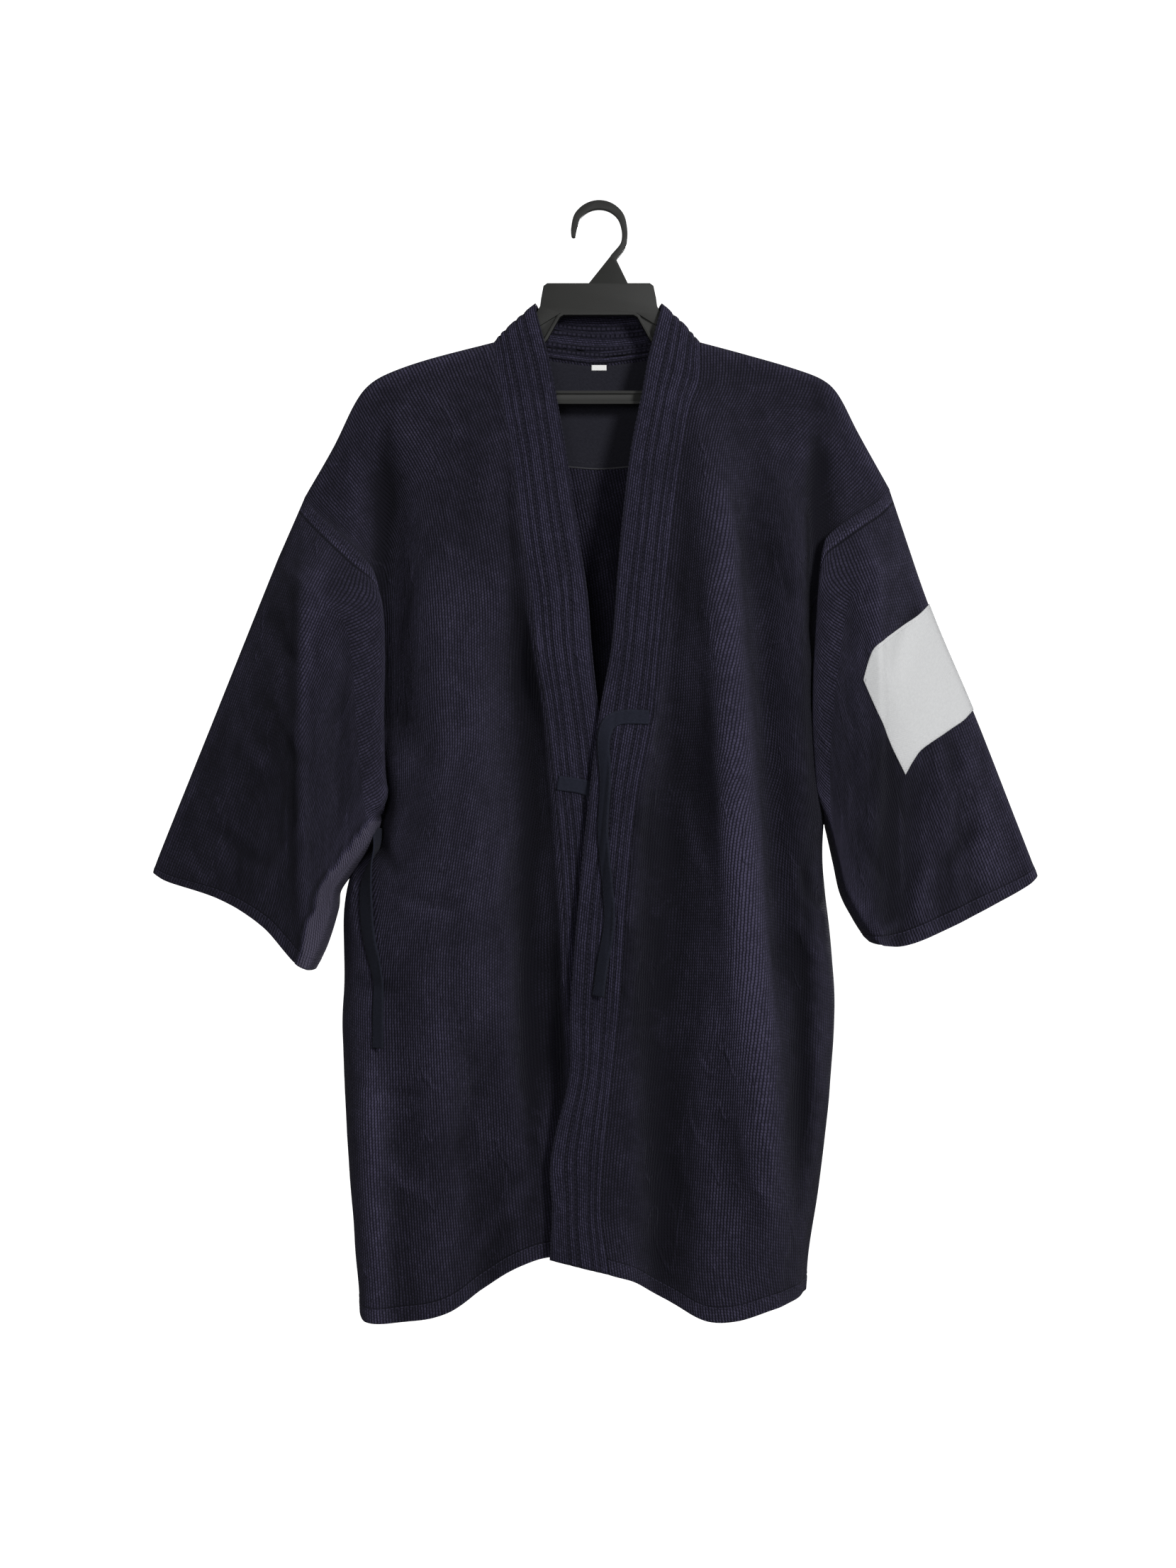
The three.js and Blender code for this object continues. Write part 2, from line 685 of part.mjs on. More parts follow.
// A closed wall from a grid of points on its outer face. The other face lies on the inner side.
function wallGeometry(surface, us, vs, thick, options = {}) {
  const { closed = false, flip = false, groove = null } = options;
  const columns = us.length;
  const rows = vs.length;
  const limits = closed ? [-1, 2, vs[0], vs[rows - 1]] : [us[0], us[columns - 1], vs[0], vs[rows - 1]];
  const outer = [];
  const inner = [];
  for (const v of vs) {
    for (const u of us) {
      const here = surface(u, v);
      const normal = facing(surface, u, v, limits).multiplyScalar(flip ? -1 : 1);
      inner.push(here.clone().addScaledVector(normal, -thick));
      outer.push(here.addScaledVector(normal, groove ? -groove(u) : 0));
    }
  }
  const count = outer.length;
  const index = [];
  const triangle = (a, b, c) => (flip ? index.push(a, c, b) : index.push(a, b, c));
  const at = (i, j) => j * columns + (i % columns);
  const both = (a, b, c) => {
    triangle(a, b, c);
    triangle(a + count, c + count, b + count);
  };
  const lastColumn = closed ? columns : columns - 1;
  for (let j = 0; j < rows - 1; j += 1) {
    for (let i = 0; i < lastColumn; i += 1) {
      const [a, b, c, d] = [at(i, j), at(i + 1, j), at(i + 1, j + 1), at(i, j + 1)];
      if (outer[a].distanceTo(outer[c]) < outer[b].distanceTo(outer[d])) {
        both(a, b, c);
        both(a, c, d);
      } else {
        both(a, b, d);
        both(b, c, d);
      }
    }
  }
  const rim = (a, b) => {
    triangle(b, a, a + count);
    triangle(b, a + count, b + count);
  };
  for (let i = 0; i < lastColumn; i += 1) {
    rim(at(i, 0), at(i + 1, 0));
    rim(at(i + 1, rows - 1), at(i, rows - 1));
  }
  for (let j = 0; !closed && j < rows - 1; j += 1) {
    rim(at(0, j + 1), at(0, j));
    rim(at(columns - 1, j), at(columns - 1, j + 1));
  }
  const geometry = new THREE.BufferGeometry();
  const flat = [...outer, ...inner].flatMap((p) => [p.x, p.y, p.z]);
  geometry.setAttribute('position', new THREE.Float32BufferAttribute(flat, 3));
  geometry.setIndex(index);
  return geometry;
}

const steps = (from, to, count) => Array.from({ length: count + 1 }, (_, i) => mix(from, to, i / count));

const noragi = new THREE.Group();
function addPiece(name, geometry, colour, roughness) {
  geometry.computeVertexNormals();
  const material = new THREE.MeshStandardMaterial({ color: colour, roughness, metalness: 0 });
  const mesh = new THREE.Mesh(geometry, material);
  mesh.name = name;
  noragi.add(mesh);
}

// Rows down the armhole and the rest of the body, shared by all that meets there
const ARMHOLE_V = [0, 0.003, 0.009, 0.025, 0.055, 0.09, 0.13, 0.175, 0.22, 0.27, 0.32, 0.37, 0.41, ARMHOLE];
const LOWER_V = [0.47, 0.53, 0.6, 0.67, 0.74, 0.8, 0.85, 0.89, 0.93, 0.965, 1];
const WRAP_V = [-SEAM_DROP / WRAP_SCALE, -0.0022];

// Body
const INSET = 0.0012;
const FRONT_V = [...WRAP_V, ...ARMHOLE_V, ...LOWER_V];
const frontAcross = steps(INSET, 1 - INSET, 15);
const foldedAcross = steps(INSET, 1 - INSET, 19);
const rightFrontWall = wallGeometry(rightFront, frontAcross, FRONT_V, CLOTH);
const leftFrontWall = wallGeometry(leftFront, foldedAcross, FRONT_V, CLOTH, { flip: true });
addPiece('front_right', rightFrontWall, COLOURS.cloth, 0.9);
addPiece('front_left', leftFrontWall, COLOURS.cloth, 0.9);

const SKIPPED = [0.003, 0.009, 0.47, 0.89, 0.965];
const BACK_V = [...ARMHOLE_V, ...LOWER_V].filter((v) => !SKIPPED.includes(v));
const backAcross = steps(INSET / 2, 1 - INSET / 2, 28);
addPiece('back', wallGeometry(backSurface, backAcross, BACK_V, CLOTH), COLOURS.cloth, 0.9);

// Sleeves
const PATCH = { thick: 0.7, from: 0.285, to: 0.555, back: 0.9, front: 0.2 };
const NEAR_ARMHOLE = [0.002, 0.018, 0.04, 0.065, 0.095, LAP_SHARE, 0.21];
const SLEEVE_S = [...NEAR_ARMHOLE, PATCH.from, 0.39, 0.48, PATCH.to, 0.68, 0.79, 0.9, 1];
const frontRound = ARMHOLE_V.map((v) => v / ARMHOLE / 2);
const backRound = BACK_V.filter((v) => v < ARMHOLE)
  .map((v) => 1 - (WRAP_SHARE + (v / ARMHOLE) * (1 - WRAP_SHARE)) / 2);
const SLEEVE_Q = [...new Set([...frontRound, ...backRound, PATCH.front, PATCH.back])].sort((a, b) => a - b);
const around = (surface) => (q, s) => surface(s, (q + 1) % 1);
const rightRound = around(rightSleeve);
const leftRound = around(leftSleeve);
const rightSleeveWall = wallGeometry(rightRound, SLEEVE_Q, SLEEVE_S, CLOTH, { closed: true, flip: true });
const leftSleeveWall = wallGeometry(leftRound, SLEEVE_Q, SLEEVE_S, CLOTH, { closed: true });
addPiece('sleeve_right', rightSleeveWall, COLOURS.cloth, 0.9);
addPiece('sleeve_left', leftSleeveWall, COLOURS.cloth, 0.9);

// Neckband, stitched through along its length in channels
const CHANNELS = 5;
const CHANNEL_DEPTH = 0.6;
const BESIDE_V = [...ARMHOLE_V, ...LOWER_V].filter((v) => v > 0);
const neckShares = backAcross.map((u) => (backShare(u) - NECK_FROM) / (NECK_TO - NECK_FROM));
const neckInner = neckShares.filter((w) => w > 0.02 && w < 0.98);
const neckRows = [0, 0.05, ...neckInner, 0.95, 1].sort((a, b) => a - b);
const NECK_T = neckRows.map((w) => mix(PASSES[1], PASSES[2], w));
const BAND_T = [
  ...BESIDE_V.map((v) => PASSES[0] * (1 - v)).reverse(),
  PASSES[0],
  mix(PASSES[0], PASSES[1], 0.36),
  ...NECK_T,
  mix(PASSES[3], PASSES[2], 0.36),
  PASSES[3],
  ...BESIDE_V.map((v) => mix(PASSES[3], 1, v)),
];
const bandAcross = steps(0.011, 1, CHANNELS * 2);
const groove = (w) => (Math.round(w * CHANNELS * 2) % 2 === 0 && w > 0.05 && w < 0.95 ? CHANNEL_DEPTH : 0);
addPiece('collar', wallGeometry(bandSurface, bandAcross, BAND_T, BAND, { groove }), COLOURS.band, 0.88);

// Lining of the yoke, inside the upper back
const LINED = { across: [0.2, 0.8], down: [0.005, 0.13] };
const liningFace = lifted(backSurface, -(CLOTH + LAID_GAP), [0, 1, 0, 1]);
const liningAcross = backAcross.filter((u) => u > LINED.across[0] && u < LINED.across[1]);
const liningDown = [LINED.down[0], ...BACK_V.filter((v) => v > LINED.down[0] && v <= LINED.down[1])];
addPiece('yoke_lining', wallGeometry(liningFace, liningAcross, liningDown, LINING), COLOURS.lining, 0.9);

// Ties of smooth tape
const TIE_WIDTH = 13;
const LEFT_TIE = table(['v', 'x', 'z', 'turn'], [
  [0, 44, -467, 0],
  [0.09, 20, -467, 0],
  [0.15, 8, -473, 0.1],
  [0.21, 3.5, -489, 0.4],
  [0.35, 4.6, -526, 0.7],
  [0.5, 2.6, -572, 0.75],
  [0.7, 7, -627, 0.8],
  [0.8, 7.5, -653, 0.8],
  [0.92, 1.3, -692, 0.7],
  [1, -2, -717, 0.6],
]);
const RIGHT_TIE = table(['v', 'x', 'z', 'turn'], [
  [0, -38, -526, 0],
  [0.1, -14, -530, 0],
  [0.17, -3, -538, 0],
  [0.24, 1, -555, 0],
  [0.6, 2, -650, 0],
  [1, 4, -752, 0],
]);
const SIDE_TIE = table(['v', 'x', 'z', 'turn'], [
  [0, -196, -568, 1.25],
  [0.12, -199, -594, 1.1],
  [0.25, -202, -622, 0.95],
  [0.5, -203, -668, 0.9],
  [0.7, -199.5, -706, 0.85],
  [0.85, -200, -735, 0.85],
  [1, -200, -764, 0.8],
]);
const tieLift = LAID_GAP + TAPE;
const bandGuess = (from, to) => (here) => [0.5, clamp(from + (to - from) * ((-122 - here.z) / 830))];
const leftTie = laidStrip(bandSurface, bandGuess(0.58, 1), LEFT_TIE, TIE_WIDTH, tieLift, 1);
const rightTie = laidStrip(bandSurface, bandGuess(0.42, 0), RIGHT_TIE, TIE_WIDTH, tieLift, 1);
const sideGuess = (here) => [0.85, (-122 - here.z) / 870];
const sideTie = laidStrip(rightFront, sideGuess, SIDE_TIE, TIE_WIDTH, tieLift + 0.15, 1);
const tapeAcross = steps(0, 1, 2);
const tapeWall = (tie, rows) => wallGeometry(tie, tapeAcross, steps(0, 1, rows), TAPE, { flip: true });
addPiece('tie_front_left', tapeWall(leftTie, 26), COLOURS.tape, 0.7);
addPiece('tie_front_right', tapeWall(rightTie, 18), COLOURS.tape, 0.7);
addPiece('tie_side_right', tapeWall(sideTie, 14), COLOURS.tape, 0.7);

// Bare cloth patch on the left sleeve
const patchFace = lifted(leftRound, LAID_GAP + PATCH.thick, [-1, 2, 0, 1]);
const patchBehind = SLEEVE_Q.filter((q) => q >= PATCH.back).map((q) => q - 1);
const patchRound = [...patchBehind, ...SLEEVE_Q.filter((q) => q <= PATCH.front)];
const patchAlong = SLEEVE_S.filter((s) => s >= PATCH.from && s <= PATCH.to);
const patchWall = wallGeometry(patchFace, patchRound, patchAlong, PATCH.thick);
addPiece('name_patch', patchWall, COLOURS.patch, 0.85);

// Bare size label at the back of the neck
const LABEL = { thick: 0.5, width: 5, x: [-7.5, 6.5], z: -141.5 };
const labelPath = (v) => ({ x: mix(...LABEL.x, v), z: LABEL.z, turn: 0 });
const labelLift = -(CLOTH + LINING + 2 * LAID_GAP);
const labelFace = laidStrip(backSurface, () => [0.5, 0.01], labelPath, LABEL.width, labelLift, 1);
const labelWall = wallGeometry(labelFace, steps(0, 1, 2), steps(0, 1, 4), LABEL.thick);
addPiece('size_label', labelWall, COLOURS.label, 0.8);

// Hanger: a hook, a plate and two arms joined by a bar, all one moulding with raised rims
const HOOK_STROKE = table(['t', 'x', 'z', 'half'], [
  [0, -23.9, -23.9, 2.2],
  [1, -23.4, -18, 2.8],
  [2, -20.2, -6.6, 3.3],
  [3, -11.5, 1.2, 3.7],
  [4, -0.5, 3.9, 3.9],
  [5, 10.5, 1.2, 3.7],
  [6, 19.1, -6.6, 3.2],
  [7, 22.6, -18, 2.6],
  [8, 22.7, -28, 2.6],
  [9, 20.6, -35, 2.9],
  [10, 12.6, -44.8, 3.2],
]);
const BRACE = [[-11.2, -70], [26.5, -70], [15.1, -46.6], [10.5, -42.8]];
const BODY_OUTLINE = [
  [-48, -68.5], [-51.5, -71], [-53.6, -82], [-54.6, -89.5], [-58, -96], [-66, -105], [-80, -118.5],
  [-97, -129], [-160, -144], [-194, -156.5], [-202, -161], [-205.5, -167], [-205.5, -174], [-201, -179],
  [200, -179], [204.5, -174], [204.5, -167], [201, -161.5], [184, -153.5], [133, -138.5],
  [92, -129], [78, -118.5], [64, -105], [56, -96], [52.6, -89.5], [51.6, -82], [49.3, -71], [46, -68.5],
];
const WINDOW = [
  [-33, -97.5], [-36.5, -99.5], [-48, -120], [-60, -134], [-80, -143], [-165, -164.5], [-165, -167],
  [164, -167], [164, -164.5], [80, -143], [58, -134], [46, -120], [34.5, -99.5], [31, -97.5],
];
const PLATE_AREA = [
  [-70, -60], [-72, -117], [-54, -107], [-36, -96], [34, -96], [52, -107], [70, -117], [68, -60],
];

// The stroke's two sides and its rounded tips, as one outline.
function strokeOutline(stroke, last, count) {
  const tip = 5;
  const sides = steps(0, last, count).map((t) => {
    const here = stroke(t);
    const before = stroke(Math.max(0, t - 0.05));
    const after = stroke(Math.min(last, t + 0.05));
    return { ...here, way: Math.atan2(after.z - before.z, after.x - before.x) };
  });
  const beside = (dot, angle) => [
    dot.x + dot.half * Math.cos(dot.way + angle),
    dot.z + dot.half * Math.sin(dot.way + angle),
  ];
  const turns = steps(0, Math.PI, tip).slice(1, -1);
  return [
    ...sides.map((dot) => beside(dot, -Math.PI / 2)),
    ...turns.map((angle) => beside(sides[count], angle - Math.PI / 2)),
    ...sides.map((dot) => beside(dot, Math.PI / 2)).reverse(),
    ...turns.map((angle) => beside(sides[0], angle + Math.PI / 2)),
  ];
}

// An outline with each edge moved inwards by a distance, or outwards where it is negative.
function inset(corners, distance) {
  const next = (i) => corners[(i + 1) % corners.length];
  const area = corners.reduce((sum, [x, z], i) => sum + x * next(i)[1] - next(i)[0] * z, 0);
  const inwards = corners.map(([x, z], i) => {
    const [dx, dz] = [next(i)[0] - x, next(i)[1] - z];
    const length = Math.hypot(dx, dz) * Math.sign(area);
    return [-dz / length, dx / length];
  });
  return corners.map(([x, z], i) => {
    const [before, after] = [inwards.at(i - 1), inwards[i]];
    const scale = distance / (1 + before[0] * after[0] + before[1] * after[1]);
    return [x + (before[0] + after[0]) * scale, z + (before[1] + after[1]) * scale];
  });
}

// An outline seen from the front, as a slab whose middle lies at a depth.
function slab(corners, thick, at) {
  const shape = new THREE.Shape(corners.map(([x, z]) => new THREE.Vector2(x, z)));
  const geometry = new THREE.ExtrudeGeometry(shape, { depth: thick, bevelEnabled: false });
  geometry.deleteAttribute('normal');
  geometry.deleteAttribute('uv');
  geometry.rotateX(Math.PI / 2).translate(0, at + thick / 2, 0);
  const merged = mergeVertices(geometry, 1e-4);
  return new wasm.Manifold(new wasm.Mesh({
    numProp: 3,
    vertProperties: merged.attributes.position.array,
    triVerts: new Uint32Array(merged.index.array),
  }));
}

const pocketDepth = (HANGER_THICK - HANGER_WEB) / 2;
const PAST = 2;
function pocket(side) {
  const at = side * (HANGER_WEB / 2 + (pocketDepth + PAST) / 2);
  return slab(inset(BODY_OUTLINE, HANGER_RIM), pocketDepth + PAST, at)
    .subtract(slab(inset(WINDOW, -HANGER_RIM), HANGER_THICK * 2, at))
    .subtract(slab(PLATE_AREA, HANGER_THICK * 2, at));
}
const hanger = slab(BODY_OUTLINE, HANGER_THICK, 0)
  .subtract(slab(WINDOW, HANGER_THICK * 2, 0))
  .add(slab(strokeOutline(HOOK_STROKE, 10, 44), HOOK_THICK, 0))
  .add(slab(BRACE, HOOK_THICK, 0))
  .subtract(pocket(-1))
  .subtract(pocket(1));

function solidGeometry(solid) {
  const mesh = solid.getMesh();
  const positions = new Float32Array(mesh.numVert * 3);
  for (let i = 0; i < mesh.numVert; i += 1) {
    positions.set(mesh.vertProperties.subarray(i * mesh.numProp, i * mesh.numProp + 3), i * 3);
  }
  const geometry = new THREE.BufferGeometry();
  geometry.setAttribute('position', new THREE.BufferAttribute(positions, 3));
  geometry.setIndex(new THREE.BufferAttribute(mesh.triVerts, 1));
  return geometry;
}
addPiece('hanger', solidGeometry(hanger), COLOURS.plastic, 0.55);

export default noragi;
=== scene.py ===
import math
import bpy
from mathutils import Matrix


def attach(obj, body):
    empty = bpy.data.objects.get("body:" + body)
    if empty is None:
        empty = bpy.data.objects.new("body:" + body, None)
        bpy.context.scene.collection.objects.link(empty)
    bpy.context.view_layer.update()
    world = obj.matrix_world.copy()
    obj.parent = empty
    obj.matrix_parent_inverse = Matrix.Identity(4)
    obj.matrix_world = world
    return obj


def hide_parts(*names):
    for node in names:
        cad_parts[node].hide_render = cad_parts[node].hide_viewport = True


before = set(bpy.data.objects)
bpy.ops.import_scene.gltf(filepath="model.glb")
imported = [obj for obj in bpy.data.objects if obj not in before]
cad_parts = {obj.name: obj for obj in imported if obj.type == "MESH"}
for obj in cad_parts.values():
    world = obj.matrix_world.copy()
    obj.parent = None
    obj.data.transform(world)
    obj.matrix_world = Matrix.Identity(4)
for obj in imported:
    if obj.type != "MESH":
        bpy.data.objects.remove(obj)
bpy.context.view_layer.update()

from types import SimpleNamespace

import bmesh
import bpy
import numpy as np
from mathutils import Vector

# Cloth sizes, in millimetres, as the solids have them
MM = 0.001
CLOTH = 1.8
BAND = 3.6
LINING = 1.0
TAPE = 1.4
PATCH_CLOTH = 0.7
LABEL_TAPE = 0.5
LAID_GAP = 0.35
FOLD_RADIUS = 8
SEAM_DROP = 6.2
SEAM_TUCK = 0.6
SLEEVE_TUCK = 0.4
TIE_WIDTH = 13
LABEL_WIDTH = 5

# Hems and felled seams, in millimetres
HEM_BAND = 15
CUFF_BAND = 14
STITCHED_AT = 0.86
FELLED = 9.5
FELLED_STITCH = FELLED * 0.72


# Curves

def clamp(t):
    return np.clip(t, 0, 1)


def mix(a, b, t):
    return a + (b - a) * t


def smooth(a, b, t):
    k = clamp((t - a) / (b - a))
    return k * k * (3 - 2 * k)


def bump(distance, width):
    return np.exp(-((distance / width) ** 2))


def paired(u, v):
    return np.broadcast_arrays(np.asarray(u, float), np.asarray(v, float))


def table(rows):
    """Reads rows of numbers as smooth curves of their first column: a cubic through the rows."""
    data = np.array(rows, float)
    knots, values = data[:, 0], data[:, 1:]
    last = len(rows) - 1
    before = np.maximum(np.arange(last + 1) - 1, 0)
    after = np.minimum(np.arange(last + 1) + 1, last)
    slopes = (values[after] - values[before]) / (knots[after] - knots[before])[:, None]

    def read(t):
        t = np.asarray(t, float)
        i = np.clip(np.searchsorted(knots, t) - 1, 0, last - 1)
        span = (knots[i + 1] - knots[i])[..., None]
        k = clamp((t - knots[i]) / span[..., 0])[..., None]
        h = k * k * (3 - 2 * k)
        start = values[i] * (1 - h) + values[i + 1] * h
        lift = (k**3 - 2 * k * k + k) * slopes[i] + (k**3 - k * k) * slopes[i + 1]
        return np.moveaxis(start + lift * span, -1, 0)

    return read


def turn_at_end(u, share):
    """A quarter round at one end of a width: the share across and how much of the depth is left."""
    begins = (1 - share) / (1 - share + share * math.pi / 2)
    angle = np.maximum(0, (u - begins) / (1 - begins)) * math.pi / 2
    across = np.where(u <= begins, u / begins * (1 - share), 1 - share + share * np.sin(angle))
    return across, np.cos(angle)


def round_over(drop, radius):
    return np.sqrt(np.maximum(0, 1 - (1 - clamp(drop / radius)) ** 2))


def coons(top, bottom, start, end, u, v):
    """Fills the outline of four edge curves, seen from the front."""
    none, full = np.zeros_like(u), np.ones_like(u)
    corners_0 = mix(start(none)[:2], end(none)[:2], u)
    corners_1 = mix(start(full)[:2], end(full)[:2], u)
    sides = mix(start(v)[:2], end(v)[:2], u)
    return mix(top(u)[:2], bottom(u)[:2], v) + sides - mix(corners_0, corners_1, v)


# Depth in front of, or behind, the hanger's plane, by the drop below the shoulder fold
FRONT_FALL = table([
    (0, 0), (12, 1), (45, 9), (100, 18), (180, 26), (320, 34), (480, 39), (700, 44), (900, 47),
])
BACK_FALL = table([(0, 0), (20, 4), (60, 13), (120, 19), (300, 24), (600, 28), (900, 31)])

# Edges of the right front: u or v, x, z and, down the sides, depth
RIGHT_SHOULDER = table([
    (0, -97, -122), (0.32, -160, -138.5), (0.5, -196, -151.5), (0.6, -213, -162.5),
    (0.69, -225, -179), (0.84, -244, -218), (1, -271, -265),
])
RIGHT_BAND_SEAM = table([
    (0, -97, -122, 8), (0.042, -92, -157, 15), (0.086, -86, -193, 21), (0.139, -78, -237, 27),
    (0.217, -70, -302, 34), (0.28, -62, -354, 37), (0.342, -57, -406, 39), (0.405, -48, -458, 40),
    (0.477, -41, -518, 41), (0.561, -34, -588, 42), (0.73, -27, -728, 43), (1, -14, -950, 45),
])

# Depth of the side seams, just behind the hanger's plane
SIDE_DEPTH = -0.3
RIGHT_LOWER_EDGE = [(v, x, z, SIDE_DEPTH) for v, x, z in (
    (0.43, -197, -549), (0.465, -205, -584), (0.505, -216, -618), (0.6, -233, -705),
    (0.68, -235, -770), (0.82, -229, -880), (0.92, -222, -952), (1, -218, -1005),
)]
RIGHT_OUTER_EDGE = table([
    (0, -271, -265, 6), (0.03, -258, -279, 15), (0.06, -240, -296, 24), (0.1, -218, -317, 31),
    (0.14, -203, -338, 33), (0.2, -199, -380, 32), (0.3, -200, -450, 26), (0.37, -199, -505, 16),
    *RIGHT_LOWER_EDGE,
])
RIGHT_HEM = table([
    (0, -14, -950), (0.2, -53, -953), (0.34, -82, -965), (0.47, -106, -982), (0.62, -136, -1001),
    (0.8, -173, -1010), (0.95, -209, -1011), (1, -218, -1005),
])

# Edges of the left front, which laps over the right one
LEFT_SHOULDER = table([
    (0, 92, -122), (0.24, 133, -133), (0.53, 184, -148), (0.66, 207, -158), (0.75, 220, -172),
    (0.86, 237, -205), (1, 266, -257),
])
LEFT_BAND_SEAM = table([
    (0, 92, -122, 8), (0.045, 91, -159, 15), (0.076, 82, -185, 20), (0.129, 74, -229, 26),
    (0.179, 68, -271, 31), (0.232, 63, -315, 36), (0.341, 53, -406, 42), (0.414, 47, -466, 46),
    (0.502, 33, -539, 50), (0.608, 24, -627, 54), (0.731, 17, -729, 57), (0.836, 8, -816, 60),
    (0.942, 1, -904, 62), (1, 8, -965, 63),
])
LEFT_LOWER_EDGE = [(v, x, z, SIDE_DEPTH) for v, x, z in (
    (0.43, 203, -552), (0.48, 203, -586), (0.52, 206, -621), (0.58, 212, -676), (0.65, 215, -736),
    (0.76, 209, -822), (0.85, 201, -894), (0.93, 192, -952), (1, 189, -989),
)]
LEFT_OUTER_EDGE = table([
    (0, 266, -257, 6), (0.03, 252, -270, 15), (0.06, 236, -280, 22), (0.1, 213, -296, 27),
    (0.13, 203, -309, 29), (0.2, 198, -360, 27), (0.3, 195, -440, 20), (0.38, 198, -505, 12),
    *LEFT_LOWER_EDGE,
])
LEFT_HEM = table([
    (0, 8, -965), (0.14, 35, -974), (0.3, 66, -993), (0.45, 95, -1007), (0.6, 122, -1007),
    (0.8, 152, -998), (0.93, 178, -992), (1, 189, -989),
])

# Edges of the back; at the neck the last column is the height of the fold that the cloth comes from
NECK_SHARES = (0.32, 0.68)
BACK_NECK = table([
    (0, -97, -122, -122), (0.16, -66, -124, -92), (0.32, -35, -128, -66), (0.5, -2, -131, -52),
    (0.68, 31, -128, -66), (0.84, 61, -124, -92), (1, 92, -122, -122),
])
BACK_RIGHT_EDGE = table([
    (0, -271, -265, 8), (0.05, -262, -297, 14), (0.12, -244, -350, 20), (0.2, -226, -407, 21),
    (0.3, -209, -475, 17), (0.37, -200, -520, 9), *RIGHT_LOWER_EDGE,
])
BACK_LEFT_EDGE = table([
    (0, 266, -257, 8), (0.05, 257, -292, 14), (0.12, 240, -345, 20), (0.2, 225, -402, 21),
    (0.3, 211, -470, 17), (0.38, 204, -520, 9), *LEFT_LOWER_EDGE,
])
BACK_HEM = table([
    (0, -218, -1005), (0.1, -184, -1004), (0.22, -138, -990), (0.36, -78, -964), (0.5, -14, -947),
    (0.64, 48, -957), (0.78, 105, -978), (0.9, 152, -990), (1, 189, -989),
])

# Folds of the solids: top x, top z, foot x, foot z, width, rise
RIGHT_FRONT_FOLDS = [
    (-203, -190, -182, -520, 20, -9), (-150, -260, -140, -900, 42, 7),
    (-80, -330, -44, -860, 26, -13), (-60, -430, -54, -700, 16, 4),
    (-176, -640, -186, -1080, 24, -6), (-112, -690, -96, -1100, 22, -7),
    (-206, -760, -204, -1080, 18, 6),
]
LEFT_FRONT_FOLDS = [
    (96, -140, 160, -980, 21, 12), (100, -200, 130, -900, 34, 6), (74, -400, 56, -1060, 24, -12),
    (124, -230, 172, -760, 19, -8), (180, -240, 190, -620, 20, 6), (205, -200, 200, -420, 14, -7),
    (178, -700, 176, -1080, 18, -6),
]
BACK_FOLDS = [
    (-150, -200, -150, -1080, 30, 9), (-100, -330, -88, -1060, 24, -9),
    (-30, -260, -20, -1060, 34, 8), (40, -420, 48, -1060, 24, -8),
    (110, -230, 112, -1080, 30, 10), (168, -300, 160, -900, 18, -7),
    (-196, -420, -192, -960, 16, -6),
]


def fold_rise(rows, x, z):
    """How far the folds lift the cloth at a place seen from the front."""
    rise = np.zeros_like(x)
    for top_x, top_z, foot_x, foot_z, width, height in rows:
        along = (top_z - z) / (top_z - foot_z)
        fade = smooth(0, 0.22, along) * (1 - smooth(0.82, 1, along))
        middle = mix(top_x, foot_x, clamp(along))
        rise = rise + height * fade * bump(x - middle, width)
    return rise


# Panels

SIDE_TURN = 0.16
BACK_SIDE_TURN = 0.09
WRAP_SCALE = 1000
ARMHOLE = 0.43
LEFT_FORWARD = 6
BAND_REACH = 0.34


def front_surface(shoulder, hem, band_seam, outer_edge, folds, forward):
    """A front, from the shoulder seam behind the fold (v below 0, a thousandth for each mm) to the hem."""

    def surface(u, v):
        u, v = paired(u, v)
        across, left = turn_at_end(u, SIDE_TURN)
        fold_x, fold_z = shoulder(across)
        down = np.maximum(v, 0)
        x, z = coons(shoulder, hem, band_seam, outer_edge, across, down)
        drop = fold_z - z
        over = round_over(drop, FOLD_RADIUS)
        plain = FOLD_RADIUS + FRONT_FALL(drop)[0] + forward * smooth(0, 300, drop)
        at_band = (band_seam(down)[2] - plain) * (1 - smooth(0, BAND_REACH, across))
        at_edge = (outer_edge(down)[2] - plain) * (1 - left)
        free = smooth(0, 0.07, across) * smooth(0, 0.5, left) * smooth(0, 60, drop)
        y = -over * (plain + at_band + at_edge) - fold_rise(folds, x, z) * free
        behind = FOLD_RADIUS * round_over(-v * WRAP_SCALE, FOLD_RADIUS)
        wrapped = v < 0
        return np.array([
            np.where(wrapped, fold_x, x),
            np.where(wrapped, behind, y),
            np.where(wrapped, fold_z + v * WRAP_SCALE, z),
        ])

    return surface


right_front = front_surface(
    RIGHT_SHOULDER, RIGHT_HEM, RIGHT_BAND_SEAM, RIGHT_OUTER_EDGE, RIGHT_FRONT_FOLDS, 0
)
left_front = front_surface(
    LEFT_SHOULDER, LEFT_HEM, LEFT_BAND_SEAM, LEFT_OUTER_EDGE, LEFT_FRONT_FOLDS, LEFT_FORWARD
)


def back_top(across):
    """x, z and fold height along the shoulder seams and the neck."""
    start, stop = NECK_SHARES
    along_neck = (across - start) / (stop - start)
    right_x, right_z = RIGHT_SHOULDER(clamp(1 - across / start))
    left_x, left_z = LEFT_SHOULDER(clamp((across - stop) / (1 - stop)))
    right, left = np.array([right_x, right_z, right_z]), np.array([left_x, left_z, left_z])
    return np.where(along_neck < 0, right, np.where(along_neck > 1, left, BACK_NECK(clamp(along_neck))))


